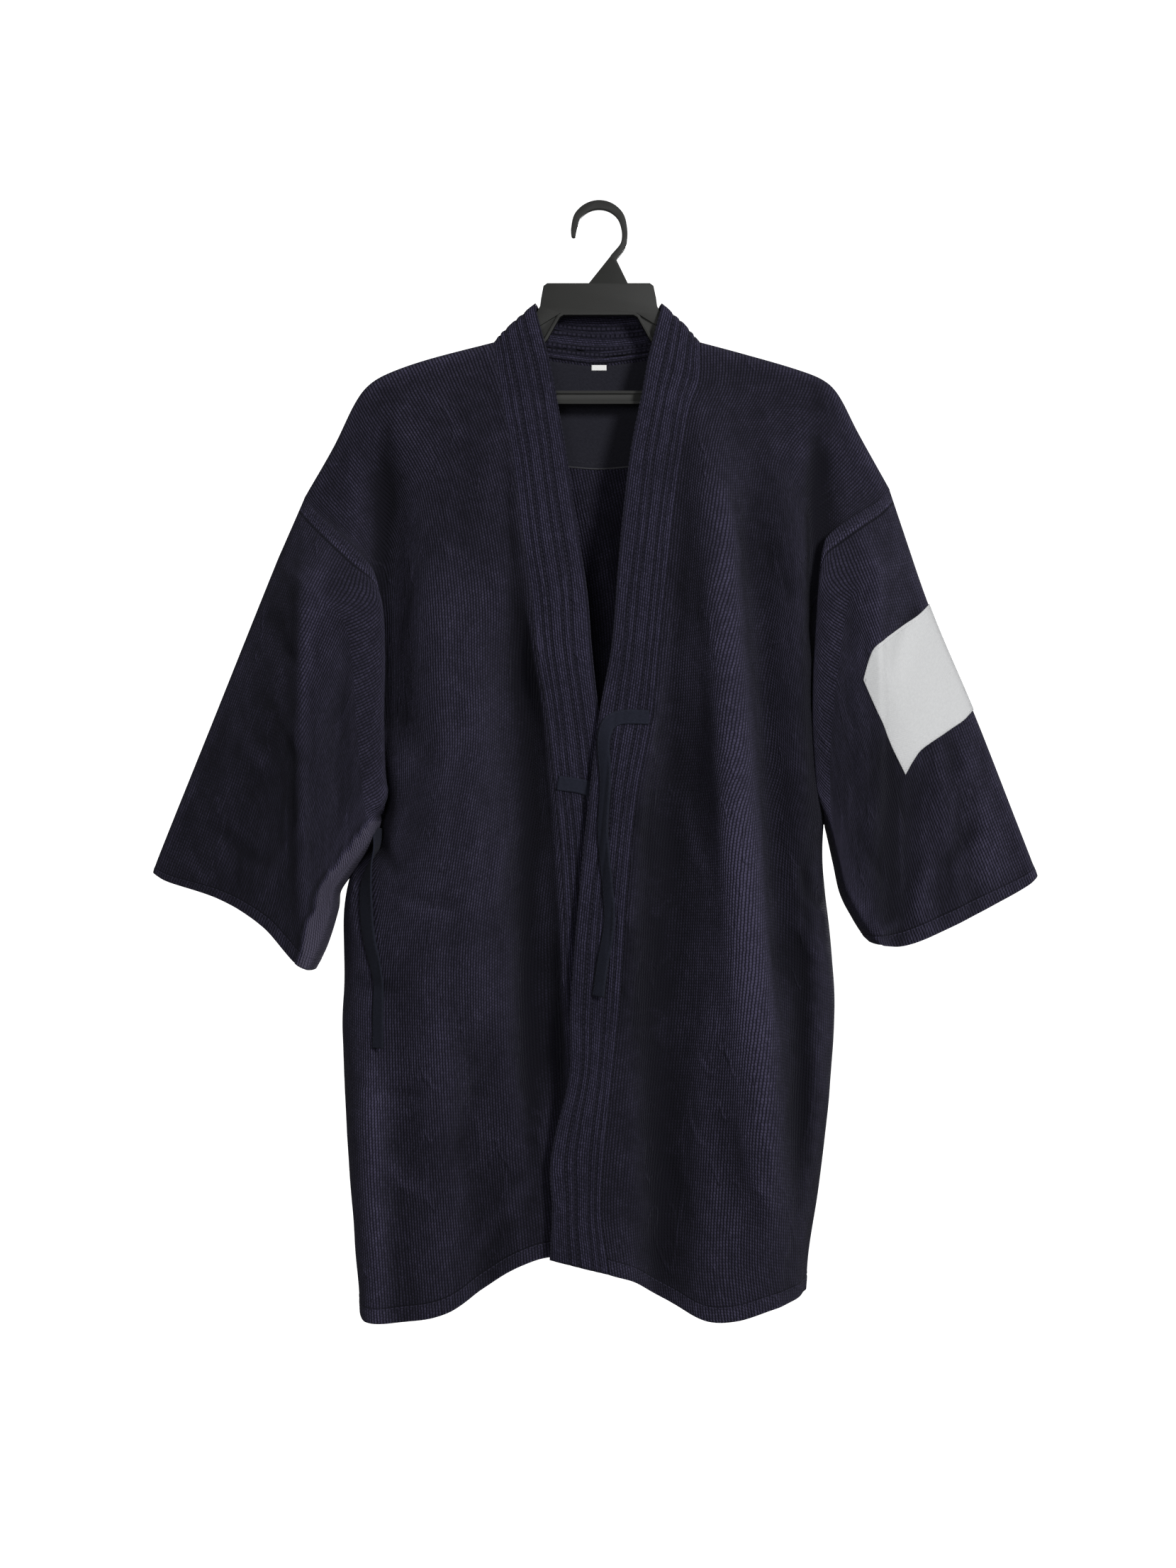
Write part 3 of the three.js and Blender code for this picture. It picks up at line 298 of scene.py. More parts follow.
def back_share(u):
    """Which share of the back's width lies at u."""
    half = turn_at_end(np.abs(u * 2 - 1), BACK_SIDE_TURN * 2)[0] / 2
    return 0.5 + np.sign(u - 0.5) * half


def back_surface(u, v):
    """The back, from the shoulder seams and the neck (v 0) to the hem, from the right side to the left."""
    u, v = paired(u, v)
    left = turn_at_end(np.abs(u * 2 - 1), BACK_SIDE_TURN * 2)[1]
    across = back_share(u)
    x, z = coons(back_top, BACK_HEM, BACK_RIGHT_EDGE, BACK_LEFT_EDGE, across, v)
    fold = back_top(across)
    beside = back_top(across + np.where(across < 0.5, 0.01, -0.01))
    slope = (beside[1] - fold[1]) / (beside[0] - fold[0])
    height = z - (SEAM_DROP - SEAM_TUCK * np.hypot(1, slope)) * (1 - smooth(0, 0.05, v))
    drop = fold[2] - height
    plain = FOLD_RADIUS + BACK_FALL(drop)[0]
    edge = np.where(u > 0.5, BACK_LEFT_EDGE(v)[2], BACK_RIGHT_EDGE(v)[2])
    free = smooth(0, 0.5, left) * smooth(40, 140, drop)
    y = round_over(drop, FOLD_RADIUS) * mix(edge, plain, left) + fold_rise(BACK_FOLDS, x, height) * free
    return np.array([x, y, height])


# Sleeves: edges by s from the armhole to the cuff, the cuff by q from its top to its under edge
RIGHT_SLEEVE = {
    "side": -1,
    "front": right_front,
    "back_side": 0,
    "top": table([
        (0, -271, -265, 0), (0.12, -290, -309, 0), (0.57, -355, -471, 0), (0.94, -406, -598, 0),
        (1, -409, -608, 0),
    ]),
    "under": table([
        (0, -197, -549, 0), (0.1, -205, -563, 3), (0.25, -216, -586, 8), (0.42, -229, -610, 13),
        (0.55, -238, -627, 16), (0.65, -239, -643, 18), (0.85, -249, -676, 18), (1, -259, -695, 16),
    ]),
    "cuff": table([
        (0, -409, -608), (0.12, -395, -616), (0.42, -343, -632), (0.68, -303, -656),
        (0.86, -275, -686), (1, -259, -695),
    ]),
    "crease_x": -262,
    "crease_depth": 58,
    "inner_depth": 52,
    "lap": 6,
    "folds": [(-330, -420, -352, -690, 18, 4), (-228, -420, -236, -640, 16, -3)],
}
LEFT_SLEEVE = {
    "side": 1,
    "front": left_front,
    "back_side": 1,
    "top": table([
        (0, 266, -257, 0), (0.29, 302, -364, 0), (0.57, 344, -464, 0), (0.83, 380, -556, 0),
        (0.97, 399, -605, 0), (1, 401, -611, 0),
    ]),
    "under": table([
        (0, 203, -552, 0), (0.12, 208, -572, 2), (0.3, 214, -600, 5), (0.5, 220, -628, 8),
        (0.75, 231, -650, 8), (0.9, 240, -664, 6), (1, 247, -671, 4),
    ]),
    "cuff": table([
        (0, 401, -611), (0.1, 391, -620), (0.36, 347, -643), (0.64, 302, -664), (0.84, 272, -674),
        (1, 247, -671),
    ]),
    "crease_x": 250,
    "crease_depth": 46,
    "inner_depth": 40,
    "lap": 3,
    "folds": [
        (286, -500, 266, -720, 16, -7), (330, -430, 360, -640, 18, 4), (222, -380, 232, -600, 16, 3),
    ],
}
UNDER_ROUND = 9
SLEEVE_BACK = 21
SLEEVE_INNER_X = 195
WRAP_SHARE = 0.025
LAP_SHARE = 0.15


def sleeve_surface(cut):
    """A tube. q runs from the top fold down the front to the underarm seam at 0.5, and up the back."""
    side = cut["side"]
    top_0, top_1 = cut["top"](0.0), cut["top"](1.0)

    def front_edge(across):
        return cut["front"](np.ones_like(across), across * ARMHOLE)

    def back_edge(across):
        wrap = cut["front"](np.ones_like(across), -across / WRAP_SHARE * SEAM_DROP / WRAP_SCALE)
        down = clamp((across - WRAP_SHARE) / (1 - WRAP_SHARE)) * ARMHOLE
        panel = back_surface(np.full_like(across, cut["back_side"]), down)
        return np.where(across < WRAP_SHARE, wrap, panel)

    def spread(s, across, edge):
        x, z = coons(cut["top"], cut["under"], lambda t: edge(t)[[0, 2]], cut["cuff"], s, across)
        top, under = cut["top"](s), cut["under"](s)
        width = np.hypot(top[0] - under[0], top[1] - under[1])
        return x, z, round_over(across * width, FOLD_RADIUS), round_over((1 - across) * width, UNDER_ROUND)

    def hung(s, across):
        x, z, from_top, from_under = spread(s, across, front_edge)
        silhouette = cut["top"](clamp((top_0[1] - z) / (top_0[1] - top_1[1])))[0]
        to_crease = clamp((x - silhouette) / (cut["crease_x"] - silhouette))
        past = clamp((cut["crease_x"] - x) / (cut["crease_x"] - side * SLEEVE_INNER_X))
        outer = FOLD_RADIUS * from_top + (cut["crease_depth"] - FOLD_RADIUS) * to_crease**1.15
        inner = mix(cut["crease_depth"], cut["inner_depth"], past)
        plain = mix(outer, inner, smooth(0.9, 1, to_crease))
        rise = fold_rise(cut["folds"], x, z) * from_under * smooth(0, 0.15, across) * smooth(0.1, 0.25, s)
        return np.array([x, -mix(cut["under"](s)[2], plain, from_under) - rise, z])

    def lapped(s, across):
        start = front_edge(across) + np.array([-side, 0, 1])[:, None, None] * SLEEVE_TUCK
        end = hung(np.full_like(s, LAP_SHARE), across)
        share = smooth(0.2, 0.34, across) * (1 - smooth(0.9, 1, across))
        first, second = mix(start, end, 1 / 3), mix(start, end, 2 / 3)
        aside = start[0] + side * 1.5
        tip = (start[0] * 0.875 - side * cut["lap"] - aside * 0.375 - end[0] * 0.125) / 0.375
        first = mix(first, np.array([aside, mix(start[1], end[1], 0.75), first[2]]), share)
        second = mix(second, np.array([tip, end[1], second[2]]), share)
        k = clamp(s / LAP_SHARE)
        ends = (1 - k) ** 3 * start + k**3 * end
        return ends + 3 * (1 - k) ** 2 * k * first + 3 * (1 - k) * k * k * second

    def behind(s, across):
        x, z, from_top, from_under = spread(s, across, back_edge)
        plain = from_top * mix(FOLD_RADIUS, SLEEVE_BACK, smooth(0, 0.35, across))
        y = mix(-cut["under"](s)[2], plain, from_under)
        sewn = 1 - smooth(0, 0.12, s)
        return np.array([x - side * SLEEVE_TUCK * sewn, mix(y, back_edge(across)[1], sewn), z])

    def surface(q, s):
        q, s = paired(np.asarray(q, float) % 1, s)
        front_across, back_across = clamp(q * 2), clamp(2 - q * 2)
        front = np.where(s < LAP_SHARE, lapped(s, front_across), hung(s, front_across))
        return np.where(q <= 0.5, front, behind(s, back_across))

    return surface


right_sleeve = sleeve_surface(RIGHT_SLEEVE)
left_sleeve = sleeve_surface(LEFT_SLEEVE)

# Free edge of the neckband: v or w, x, z and depth on the fronts, x, y and z round the neck
RIGHT_BAND_EDGE = table([
    (0, -59, -86, 0), (0.003, -58.8, -88.4, 6), (0.009, -58.2, -94, 9), (0.025, -54, -110, 11.5),
    (0.055, -46, -140, 15), (0.086, -40, -170, 18), (0.139, -31, -222, 23), (0.217, -19, -301, 30),
    (0.28, -11, -355, 34), (0.342, -7, -406, 36), (0.405, -1, -460, 36), (0.477, 7, -518, 35),
    (0.561, 13, -588, 34), (0.73, 21, -728, 33), (1, 34, -946, 34),
])
LEFT_BAND_EDGE = table([
    (0, 57, -86, 0), (0.003, 56.8, -88.4, 6), (0.009, 55.5, -94, 9), (0.025, 51, -110, 11.5),
    (0.055, 43.5, -140, 15), (0.085, 38, -172, 18), (0.129, 28, -222, 23), (0.179, 22, -271, 27),
    (0.232, 17, -320, 31), (0.341, 10, -404, 38), (0.414, 0, -460, 44), (0.502, -10, -539, 48),
    (0.608, -19, -627, 51), (0.731, -27, -729, 54), (0.8, -28, -788, 57), (0.85, -41, -845, 59),
    (0.88, -45, -872, 60), (0.92, -43, -905, 61), (1, -45, -952, 62),
])
NECK_BAND_EDGE = table([
    (0, -58.6, 6.5, -87.3), (0.07, -57, 10.5, -88.2), (0.18, -51, 15, -89), (0.34, -35, 21, -90),
    (0.5, -1, 24, -91), (0.66, 33, 21, -90), (0.82, 49, 15, -89), (0.93, 55, 10.5, -88.2),
    (1, 56.6, 6.5, -87.3),
])
PASSES = (0.42, 0.432, 0.568, 0.58)
BAND_BULGE = 1.6
CHANNELS = 5


def place_of(row):
    """x, z and depth as a point."""
    return np.array([row[0], -row[2], row[1]])


def back_u(share):
    """The back's u at a share of its width, found by halving."""
    low, high = np.zeros_like(share), np.ones_like(share)
    for _ in range(40):
        middle = (low + high) / 2
        under = back_share(middle) < share
        low, high = np.where(under, middle, low), np.where(under, high, middle)
    return (low + high) / 2


def band_edges(t):
    """The neckband's seam and free edge, from the right front's hem round the neck to the left's."""
    right_v = clamp(1 - t / PASSES[0])
    left_v = clamp((t - PASSES[3]) / (1 - PASSES[3]))
    onto = clamp((t - PASSES[0]) / (PASSES[1] - PASSES[0]))
    off = clamp((PASSES[3] - t) / (PASSES[3] - PASSES[2]))
    w = clamp((t - PASSES[1]) / (PASSES[2] - PASSES[1]))
    none = np.zeros_like(t)
    where = [t <= PASSES[0], t < PASSES[1], t <= PASSES[2], t < PASSES[3]]
    seams = [
        right_front(none, right_v),
        right_front(none, -onto * SEAM_DROP / WRAP_SCALE),
        back_surface(back_u(mix(*NECK_SHARES, w)), none),
        left_front(none, -off * SEAM_DROP / WRAP_SCALE),
    ]
    frees = [
        place_of(RIGHT_BAND_EDGE(right_v)),
        mix(place_of(RIGHT_BAND_EDGE(none)), NECK_BAND_EDGE(none), onto),
        NECK_BAND_EDGE(w),
        mix(place_of(LEFT_BAND_EDGE(none)), NECK_BAND_EDGE(none + 1), off),
    ]
    seam = np.select(where, seams, left_front(none, left_v))
    return seam, np.select(where, frees, place_of(LEFT_BAND_EDGE(left_v)))


def band_surface(w, t):
    """The neckband's outer face. w is 0 at the seam and 1 at the free edge."""
    w, t = paired(w, t)
    step = 0.006
    seam, free = band_edges(t)
    before, after = band_edges(clamp(t - step)), band_edges(clamp(t + step))
    along = after[0] + after[1] - before[0] - before[1]
    outwards = np.cross(free - seam, along, axis=0)
    outwards /= np.linalg.norm(outwards, axis=0)
    return mix(seam, free, w) + outwards * BAND_BULGE * 4 * w * (1 - w)


# Dressing: small creases, hems and stitch lines that move a surface along its own facing

CREASE_SCALE = 1.7
FOLD_DEEPER = 0.7
BOW_SHARE = 0.06
BOWED_LENGTH = 80
LATTICE = 64
BODY_RUMPLES = ((13, 34), (33, 80))
SLEEVE_RUMPLES = ((14, 34), (35, 70))


def facing(surface, u, v, limits, step=0.0015):
    """The way a surface faces, from its neighbours a small step away."""
    low_u, high_u, low_v, high_v = limits
    by_u = surface(np.minimum(high_u, u + step), v) - surface(np.maximum(low_u, u - step), v)
    by_v = surface(u, np.minimum(high_v, v + step)) - surface(u, np.maximum(low_v, v - step))
    normal = np.cross(by_u, by_v, axis=0)
    return normal / np.maximum(np.linalg.norm(normal, axis=0), 1e-9)


def lifted(surface, amount, limits, outwards=1):
    """A surface moved along its own facing, by a number or by a function of u, v and place."""

    def moved(u, v):
        u, v = paired(u, v)
        here = surface(u, v)
        out = amount(u, v, here) if callable(amount) else amount
        return here + facing(surface, u, v, limits) * (out * outwards)

    return moved


def bands(rows, x, z):
    """Soft bands between two places: x and z of each end, width and strength, negative for a trough."""
    rise = np.zeros_like(x)
    for x_1, z_1, x_2, z_2, width, height in rows:
        run_x, run_z = x_2 - x_1, z_2 - z_1
        length = math.hypot(run_x, run_z)
        along = ((x - x_1) * run_x + (z - z_1) * run_z) / length**2
        aside = ((x - x_1) * run_z - (z - z_1) * run_x) / length
        bowed = aside - BOW_SHARE * min(length, BOWED_LENGTH) * np.sin(math.pi * clamp(along))
        fade = smooth(-0.15, 0.3, along) * (1 - smooth(0.7, 1.15, along))
        rise = rise + height * fade * bump(bowed, width)
    return rise


def rumple(seed, x, z, size_x, size_z):
    """An even, slight unevenness from -1 to 1, from a seeded lattice."""
    lattice = np.random.default_rng(seed).uniform(-1, 1, (LATTICE, LATTICE))
    across, down = x / size_x + 100, z / size_z + 100
    i, j = np.floor(across).astype(int), np.floor(down).astype(int)
    k, h = across - i, down - j
    k, h = k * k * (3 - 2 * k), h * h * (3 - 2 * h)

    def along(row):
        return mix(lattice[i % LATTICE, row % LATTICE], lattice[(i + 1) % LATTICE, row % LATTICE], k)

    return mix(along(j), along(j + 1), h)


def unevenness(seed, x, z, sizes):
    return 0.7 * rumple(seed, x, z, *sizes[0]) + 0.8 * rumple(seed + 1, x, z, *sizes[1])


def folded_edge(distance, band, thick=0.5, groove=0.55):
    """The step of a turned hem and the groove of its stitch line, by the distance from the edge in mm."""
    turned = thick * (1 - smooth(band - 1.5, band + 1.5, distance))
    return turned - groove * bump(distance - band * STITCHED_AT, 1.0)


RIGHT_FRONT_CREASES = [
    (-80, -215, -62, -560, 8, -2.2), (-62, -470, -58, -900, 9, -2.6), (-196, -190, -192, -560, 7, -2.4),
    (-112, -420, -100, -930, 13, 1.6), (-138, -240, -132, -600, 11, 1.5),
    (-194, -617, -118, -634, 5, -0.6), (-186, -629, -128, -645, 7, 0.5),
    (-227, -790, -150, -806, 5, -0.6), (-215, -800, -160, -815, 7, 0.5),
    (-222, -700, -182, -712, 8, -1.4), (-60, -880, -118, -958, 10, 2.2),
    (-150, -300, -176, -380, 10, -1.4), (-120, -470, -150, -560, 12, 1.5),
    (-205, -560, -180, -610, 7, -1.8), (-100, -780, -128, -870, 10, -1.5),
    (-72, -560, -96, -640, 9, 1.6), (-196, -860, -150, -900, 10, 1.3),
]
LEFT_FRONT_CREASES = [
    (80, -200, 66, -560, 9, -2.0), (48, -520, 54, -960, 12, -2.2), (112, -330, 132, -985, 14, 2.2),
    (200, -190, 194, -560, 7, -2.6), (188, -560, 184, -930, 9, -2.4), (150, -300, 164, -800, 9, -1.6),
    (180, -600, 206, -640, 7, -1.8), (172, -640, 205, -688, 8, 1.4), (150, -300, 178, -366, 9, -1.6),
    (70, -520, 92, -610, 9, 1.5), (96, -690, 78, -780, 10, -1.4), (130, -820, 150, -905, 9, 1.8),
    (60, -860, 90, -940, 10, -1.6), (184, -760, 160, -832, 9, 1.3), (110, -260, 124, -330, 7, 1.3),
    (26, -850, 52, -930, 8, 1.2),
]
BACK_CREASES = [
    (-190, -560, -150, -610, 9, -1.8), (-180, -580, -120, -620, 10, 1.5), (170, -560, 130, -610, 9, -1.8),
    (150, -590, 90, -625, 10, 1.4), (-60, -200, -90, -320, 12, -1.5), (60, -210, 84, -330, 12, -1.5),
    (-20, -700, 30, -760, 12, 1.3), (-120, -800, -60, -850, 11, -1.6), (90, -780, 140, -850, 11, -1.5),
    (-200, -720, -160, -780, 9, 1.4), (10, -480, -26, -580, 13, 1.4),
]
RIGHT_SLEEVE_CREASES = [
    (-266, -290, -262, -690, 6, 1.6), (-222, -360, -232, -600, 9, -0.8),
    (-300, -360, -272, -420, 8, -1.8), (-330, -470, -292, -520, 9, 1.6), (-350, -560, -300, -600, 8, -1.6),
    (-262, -560, -300, -630, 9, 1.5), (-290, -430, -262, -500, 9, 1.6),
    (-382, -590, -350, -618, 8, 1.2),
]
LEFT_SLEEVE_CREASES = [
    (262, -480, 258, -690, 12, -2.4), (306, -440, 330, -650, 10, 1.6), (226, -330, 232, -600, 8, -1.4),
    (244, -663, 271, -651, 5, 1.8), (292, -360, 268, -430, 9, -1.6), (256, -520, 242, -610, 8, 1.5),
    (352, -560, 310, -606, 9, -1.5), (300, -600, 286, -650, 7, 1.4), (232, -560, 262, -620, 7, -1.4),
    (340, -500, 318, -560, 9, 1.3),
]


def panel_dressing(rows, folds, seed, hem, share, near, far, folds_fade=False):
    """A body panel's creases, deeper folds and hem, fading out towards its edges."""

    def amount(u, v, here):
        x, _, z = here
        free = smooth(0.01, near, u) * (1 - smooth(0.94, far, u)) * smooth(0.01, 0.06, v)
        deeper = FOLD_DEEPER * fold_rise(folds, x, z)
        if folds_fade:
            deeper = deeper * smooth(0.04, 0.14, v)
        rise = CREASE_SCALE * bands(rows, x, z) + deeper + unevenness(seed, x, z, BODY_RUMPLES)
        return rise * free + folded_edge(z - hem(share(u))[1], HEM_BAND)

    return amount


def front_share(u):
    return turn_at_end(u, SIDE_TURN)[0]


def across_sleeve(q):
    q = q % 1
    return np.where(q <= 0.5, q * 2, 2 - q * 2)


def from_cuff(cut, q, s):
    """Distance from the cuff along the sleeve, in mm."""
    top_length, under_length = [
        np.hypot(*(cut[edge](1.0) - cut[edge](0.0))[:2]) for edge in ("top", "under")
    ]
    return (1 - s) * mix(top_length, under_length, across_sleeve(q))


def from_armhole(cut, q, s):
    """Distance from the armhole seam along the sleeve, in mm."""
    return from_cuff(cut, q, 0) - from_cuff(cut, q, s)


def felled_band(distance):
    """The raised band of a felled seam, with its stitch line, by the distance from the seam in mm."""
    raised = smooth(0.5, 3, distance) * (1 - smooth(FELLED - 1.5, FELLED + 1.2, distance))
    grooves = 0.6 * bump(distance - FELLED_STITCH, 1.2) + 0.5 * bump(distance - FELLED - 1.5, 1.4)
    return 0.9 * raised - grooves


# The felled underarm seam that shows on the right sleeve: z, and x of its stitched side
FELLED_SEAM = table([
    (555, -204), (591, -231), (616, -249), (628, -254), (640, -255.5), (649, -261), (665, -265),
    (680, -269), (688, -274),
])


def into_strip(x, z):
    """How far a place lies inside the strip of the felled underarm seam, in mm."""
    return (x - FELLED_SEAM(-z)[0]) * 0.8


def sleeve_dressing(cut, rows, seed, felled=False):
    """A sleeve's creases, cuff hem, felled armhole seam and, where it shows, the felled underarm seam."""

    def amount(q, s, here):
        x, _, z = here
        across = across_sleeve(q)
        free = smooth(0.1, 0.2, s) * smooth(0.02, 0.1, across) * (1 - smooth(0.93, 0.99, across))
        rise = (CREASE_SCALE * bands(rows, x, z) + unevenness(seed, x, z, SLEEVE_RUMPLES)) * free
        rise = rise + folded_edge(from_cuff(cut, q, s), CUFF_BAND)
        rise = rise + felled_band(from_armhole(cut, q, s)) * smooth(0.02, 0.06, across)
        if felled:
            inside = into_strip(x, z)
            shows = (q % 1 <= 0.5) * smooth(-700, -690, z) * (1 - smooth(-570, -556, z))
            strip = 0.7 * smooth(-0.8, 0.8, inside) - 0.6 * bump(inside + 0.6, 1.1)
            rise = rise + strip * shows * (1 - smooth(0.95, 1, across))
        return rise

    return amount


# The neckband's stitch lines: place across it and count. Its length is in millimetres
CHANNEL_PLACES = table([(-0.1, -0.7), (0, 0), (0.15, 1), (0.27, 2), (0.53, 3), (0.68, 4), (1, 5)])
BAND_LENGTH = 2000


def channel(w, t):
    """Counts the neckband's stitch lines across it; they wander a little along it."""
    wander = 0.22 * rumple(53, t * BAND_LENGTH, w * 60, 70, 40)
    return CHANNEL_PLACES(w)[0] + wander * smooth(0, 0.1, w) * (1 - smooth(0.85, 1, w))


def band_dressing(w, t, here):
    """Grooves of the lengthwise stitch lines, and the puckers across them."""
    place = channel(w, t)
    off_line = (place - np.rint(place)) * 8
    inside = smooth(0.05, 0.12, w) * (1 - smooth(0.9, 0.97, w))
    small = rumple(51, t * BAND_LENGTH, w * 40, 7, 9)
    wide = rumple(52, t * BAND_LENGTH, w * 40, 30, 50)
    return (-0.9 * bump(off_line, 1.3) + 0.25 + 0.35 * small + 0.8 * wide) * inside


# Painted light and shade: soft bands, as the creases are, painted paler along the lit folds and darker
# along the shaded ones
RIGHT_FRONT_PAINTED_LIGHT_AND_SHADE = [
    (-194, -180, -192, -560, 10, -0.7), (-152, -190, -146, -1030, 40, 0.35),
    (-76, -205, -58, -600, 14, -0.75), (-60, -520, -60, -930, 17, -1.0),
    (-180, -600, -184, -1010, 24, 0.55), (-112, -130, -120, -320, 16, -0.35),
    (-104, -560, -100, -900, 14, 0.3),
]
LEFT_FRONT_PAINTED_LIGHT_AND_SHADE = [
    (74, -190, 80, -420, 14, -0.5), (44, -440, 52, -1040, 34, -1.1), (106, -260, 128, -800, 24, 0.4),
    (124, -540, 134, -1100, 36, 1.0), (201, -160, 197, -560, 12, -1.2), (188, -360, 190, -960, 20, -1.3),
    (150, -180, 158, -480, 14, -0.4),
]
RIGHT_SLEEVE_PAINTED_LIGHT = [(-234, -300, -232, -640, 22, 0.2)]
RIGHT_SLEEVE_SHADE = -0.62
LEFT_SLEEVE_PAINTED_LIGHT_AND_SHADE = [
    (262, -450, 262, -700, 20, -1.1), (226, -290, 230, -480, 14, 0.35), (352, -540, 372, -640, 26, 0.4),
    (300, -380, 306, -540, 16, -0.25), (316, -560, 320, -660, 12, -0.4),
]
BACK_PAINTED_LIGHT_AND_SHADE = [
    (-150, -200, -150, -1000, 30, 0.4), (-96, -330, -92, -960, 24, -0.5), (-28, -260, -22, -960, 30, 0.35),
    (44, -420, 48, -960, 22, -0.5), (110, -230, 112, -980, 28, 0.4), (166, -300, 160, -900, 16, -0.5),
]


def painted_light_and_shade_bands(rows):
    return lambda x, z: bands(rows, x, z)


def right_sleeve_painted_shading_and_wear(x, z):
    """Painted shade on the outer part, up to its pressed crease; the felled strip painted pale, as wear and
    painted light, with a painted shade line along its edge; and a band of painted light.
    """
    outer = 1 - smooth(-271, -264.5, x + 0.015 * (z + 470))
    shade = RIGHT_SLEEVE_SHADE * outer * (1 - smooth(-330, -270, z))
    inside = into_strip(x, z)
    # The strip painted paler, as wear and painted light, and a painted shade line just outside it
    strip = 3 * smooth(-1.6, 2.4, inside) - 1.2 * bump(inside + 2.4, 1.8)
    shows = smooth(-704, -692, z) * (1 - smooth(-566, -552, z))
    return bands(RIGHT_SLEEVE_PAINTED_LIGHT, x, z) + shade + strip * shows


def pushed(surface, push):
    """A surface moved sideways by a function of x and z."""

    def moved(u, v):
        x, y, z = surface(u, v)
        return np.array([x + push(x, z), y, z])

    return moved


SIDE_PUSH = -14
UNDERARM_PUSH = 7.5


def side_push(x, z):
    """The right side seam stands out a little below the sleeve."""
    return SIDE_PUSH * (1 - smooth(-600, -546, z)) * smooth(-720, -620, z) * (1 - smooth(-212, -198, x))


def underarm_push(x, z):
    """The felled strip under the right sleeve hangs over the side seam."""
    return UNDERARM_PUSH * bump(z + 577, 33) * smooth(-2.4, 4.8, into_strip(x, z))


FRONT_LIMITS = (0, 1, -SEAM_DROP / WRAP_SCALE, 1)
BACK_LIMITS = (0, 1, 0, 1)
ROUND_LIMITS = (-1, 2, 0, 1)
INWARDS = -1

right_front_dressing = panel_dressing(
    RIGHT_FRONT_CREASES, RIGHT_FRONT_FOLDS, 11, RIGHT_HEM, front_share, 0.08, 1
)
left_front_dressing = panel_dressing(
    LEFT_FRONT_CREASES, LEFT_FRONT_FOLDS, 21, LEFT_HEM, front_share, 0.08, 1
)
back_dressing = panel_dressing(BACK_CREASES, BACK_FOLDS, 31, BACK_HEM, back_share, 0.06, 0.99, True)
right_sleeve_dressing = sleeve_dressing(RIGHT_SLEEVE, RIGHT_SLEEVE_CREASES, 61, True)
left_sleeve_dressing = sleeve_dressing(LEFT_SLEEVE, LEFT_SLEEVE_CREASES, 71)
dressed_right_front = pushed(lifted(right_front, right_front_dressing, FRONT_LIMITS), side_push)
dressed_left_front = lifted(left_front, left_front_dressing, FRONT_LIMITS, INWARDS)
dressed_back = pushed(lifted(back_surface, back_dressing, BACK_LIMITS), side_push)
dressed_right_sleeve = pushed(
    lifted(right_sleeve, right_sleeve_dressing, ROUND_LIMITS, INWARDS), underarm_push
)
dressed_left_sleeve = lifted(left_sleeve, left_sleeve_dressing, ROUND_LIMITS)
dressed_band = lifted(band_surface, band_dressing, BACK_LIMITS)


# Pieces laid on a panel

def locate(surface, x, z, guess):
    """The surface place seen at x and z from the front, found from a first guess."""
    u, v = guess
    step = 0.0005
    for _ in range(12):
        here = surface(u, v)
        by_u = (surface(u + step, v) - here) / step
        by_v = (surface(u, v + step) - here) / step
        det = by_u[0] * by_v[2] - by_v[0] * by_u[2]
        det = np.where(np.abs(det) < 1, 1, det)
        miss_x, miss_z = x - here[0], z - here[2]
        u = clamp(u + (miss_x * by_v[2] - by_v[0] * miss_z) / det)
        v = clamp(v + (by_u[0] * miss_z - miss_x * by_u[2]) / det)
    return u, v


def laid_strip(surface, plain, guess, path, width, lift):
    """A flat strip laid along a path seen from the front. Its lifted edge stands off by the path's turn."""

    def strip(u, v):
        u, v = paired(u, v)
        x, z, turn = path(v)
        before, after = path(clamp(v - 0.01)), path(clamp(v + 0.01))
        run_x, run_z = (after - before)[:2]
        length = np.hypot(run_x, run_z)
        offset = (u - 0.5) * width * np.cos(turn)
        place = locate(plain, x - offset * run_z / length, z + offset * run_x / length, guess(z))
        out = facing(plain, *place, BACK_LIMITS)
        return surface(*place) + out * (lift + u * width * np.sin(turn))

    return strip


# Meshes

MERGE_REACH = 0.002
RIDGE_REACHES = ((3, 0.55), (12, 0.085))
GRAIN_REACH = 45


def new_object(name, data):
    made = bpy.data.objects.new(name, data)
    bpy.context.scene.collection.objects.link(made)
    return made


def mesh_of(name, bm):
    mesh = bpy.data.meshes.new(name)
    bm.to_mesh(mesh)
    bm.free()
    mesh.polygons.foreach_set("use_smooth", [True] * len(mesh.polygons))
    return mesh


def grid_mesh(name, points, charts, closed):
    """A fine sheet from rows and columns of points in mm, with its UV charts."""
    rows, columns = points.shape[1:]
    bm = bmesh.new()
    bmesh.ops.create_grid(bm, x_segments=columns - 1, y_segments=rows - 1, size=0.5)
    mesh = mesh_of(name, bm)
    places = np.empty(len(mesh.vertices) * 3)
    mesh.vertices.foreach_get("co", places)
    places = places.reshape(-1, 3)[:, :2]
    shares = (places - places.min(axis=0)) / np.ptp(places, axis=0)
    column = np.rint(shares[:, 0] * (columns - 1)).astype(int)
    row = np.rint(shares[:, 1] * (rows - 1)).astype(int)
    mesh.vertices.foreach_set("co", (points[:, row, column].T * MM).ravel())
    corner = np.empty(len(mesh.loops), dtype=int)
    mesh.loops.foreach_get("vertex_index", corner)
    for key, values in charts.items():
        layer = mesh.uv_layers.new(name=key)
        layer.data.foreach_set("uv", values[:, row, column].T[corner].ravel())
    if closed:
        bm = bmesh.new()
        bm.from_mesh(mesh)
        bmesh.ops.remove_doubles(bm, verts=bm.verts[:], dist=MERGE_REACH * MM)
        bm.to_mesh(mesh)
        bm.free()
    mesh.update()
    return mesh


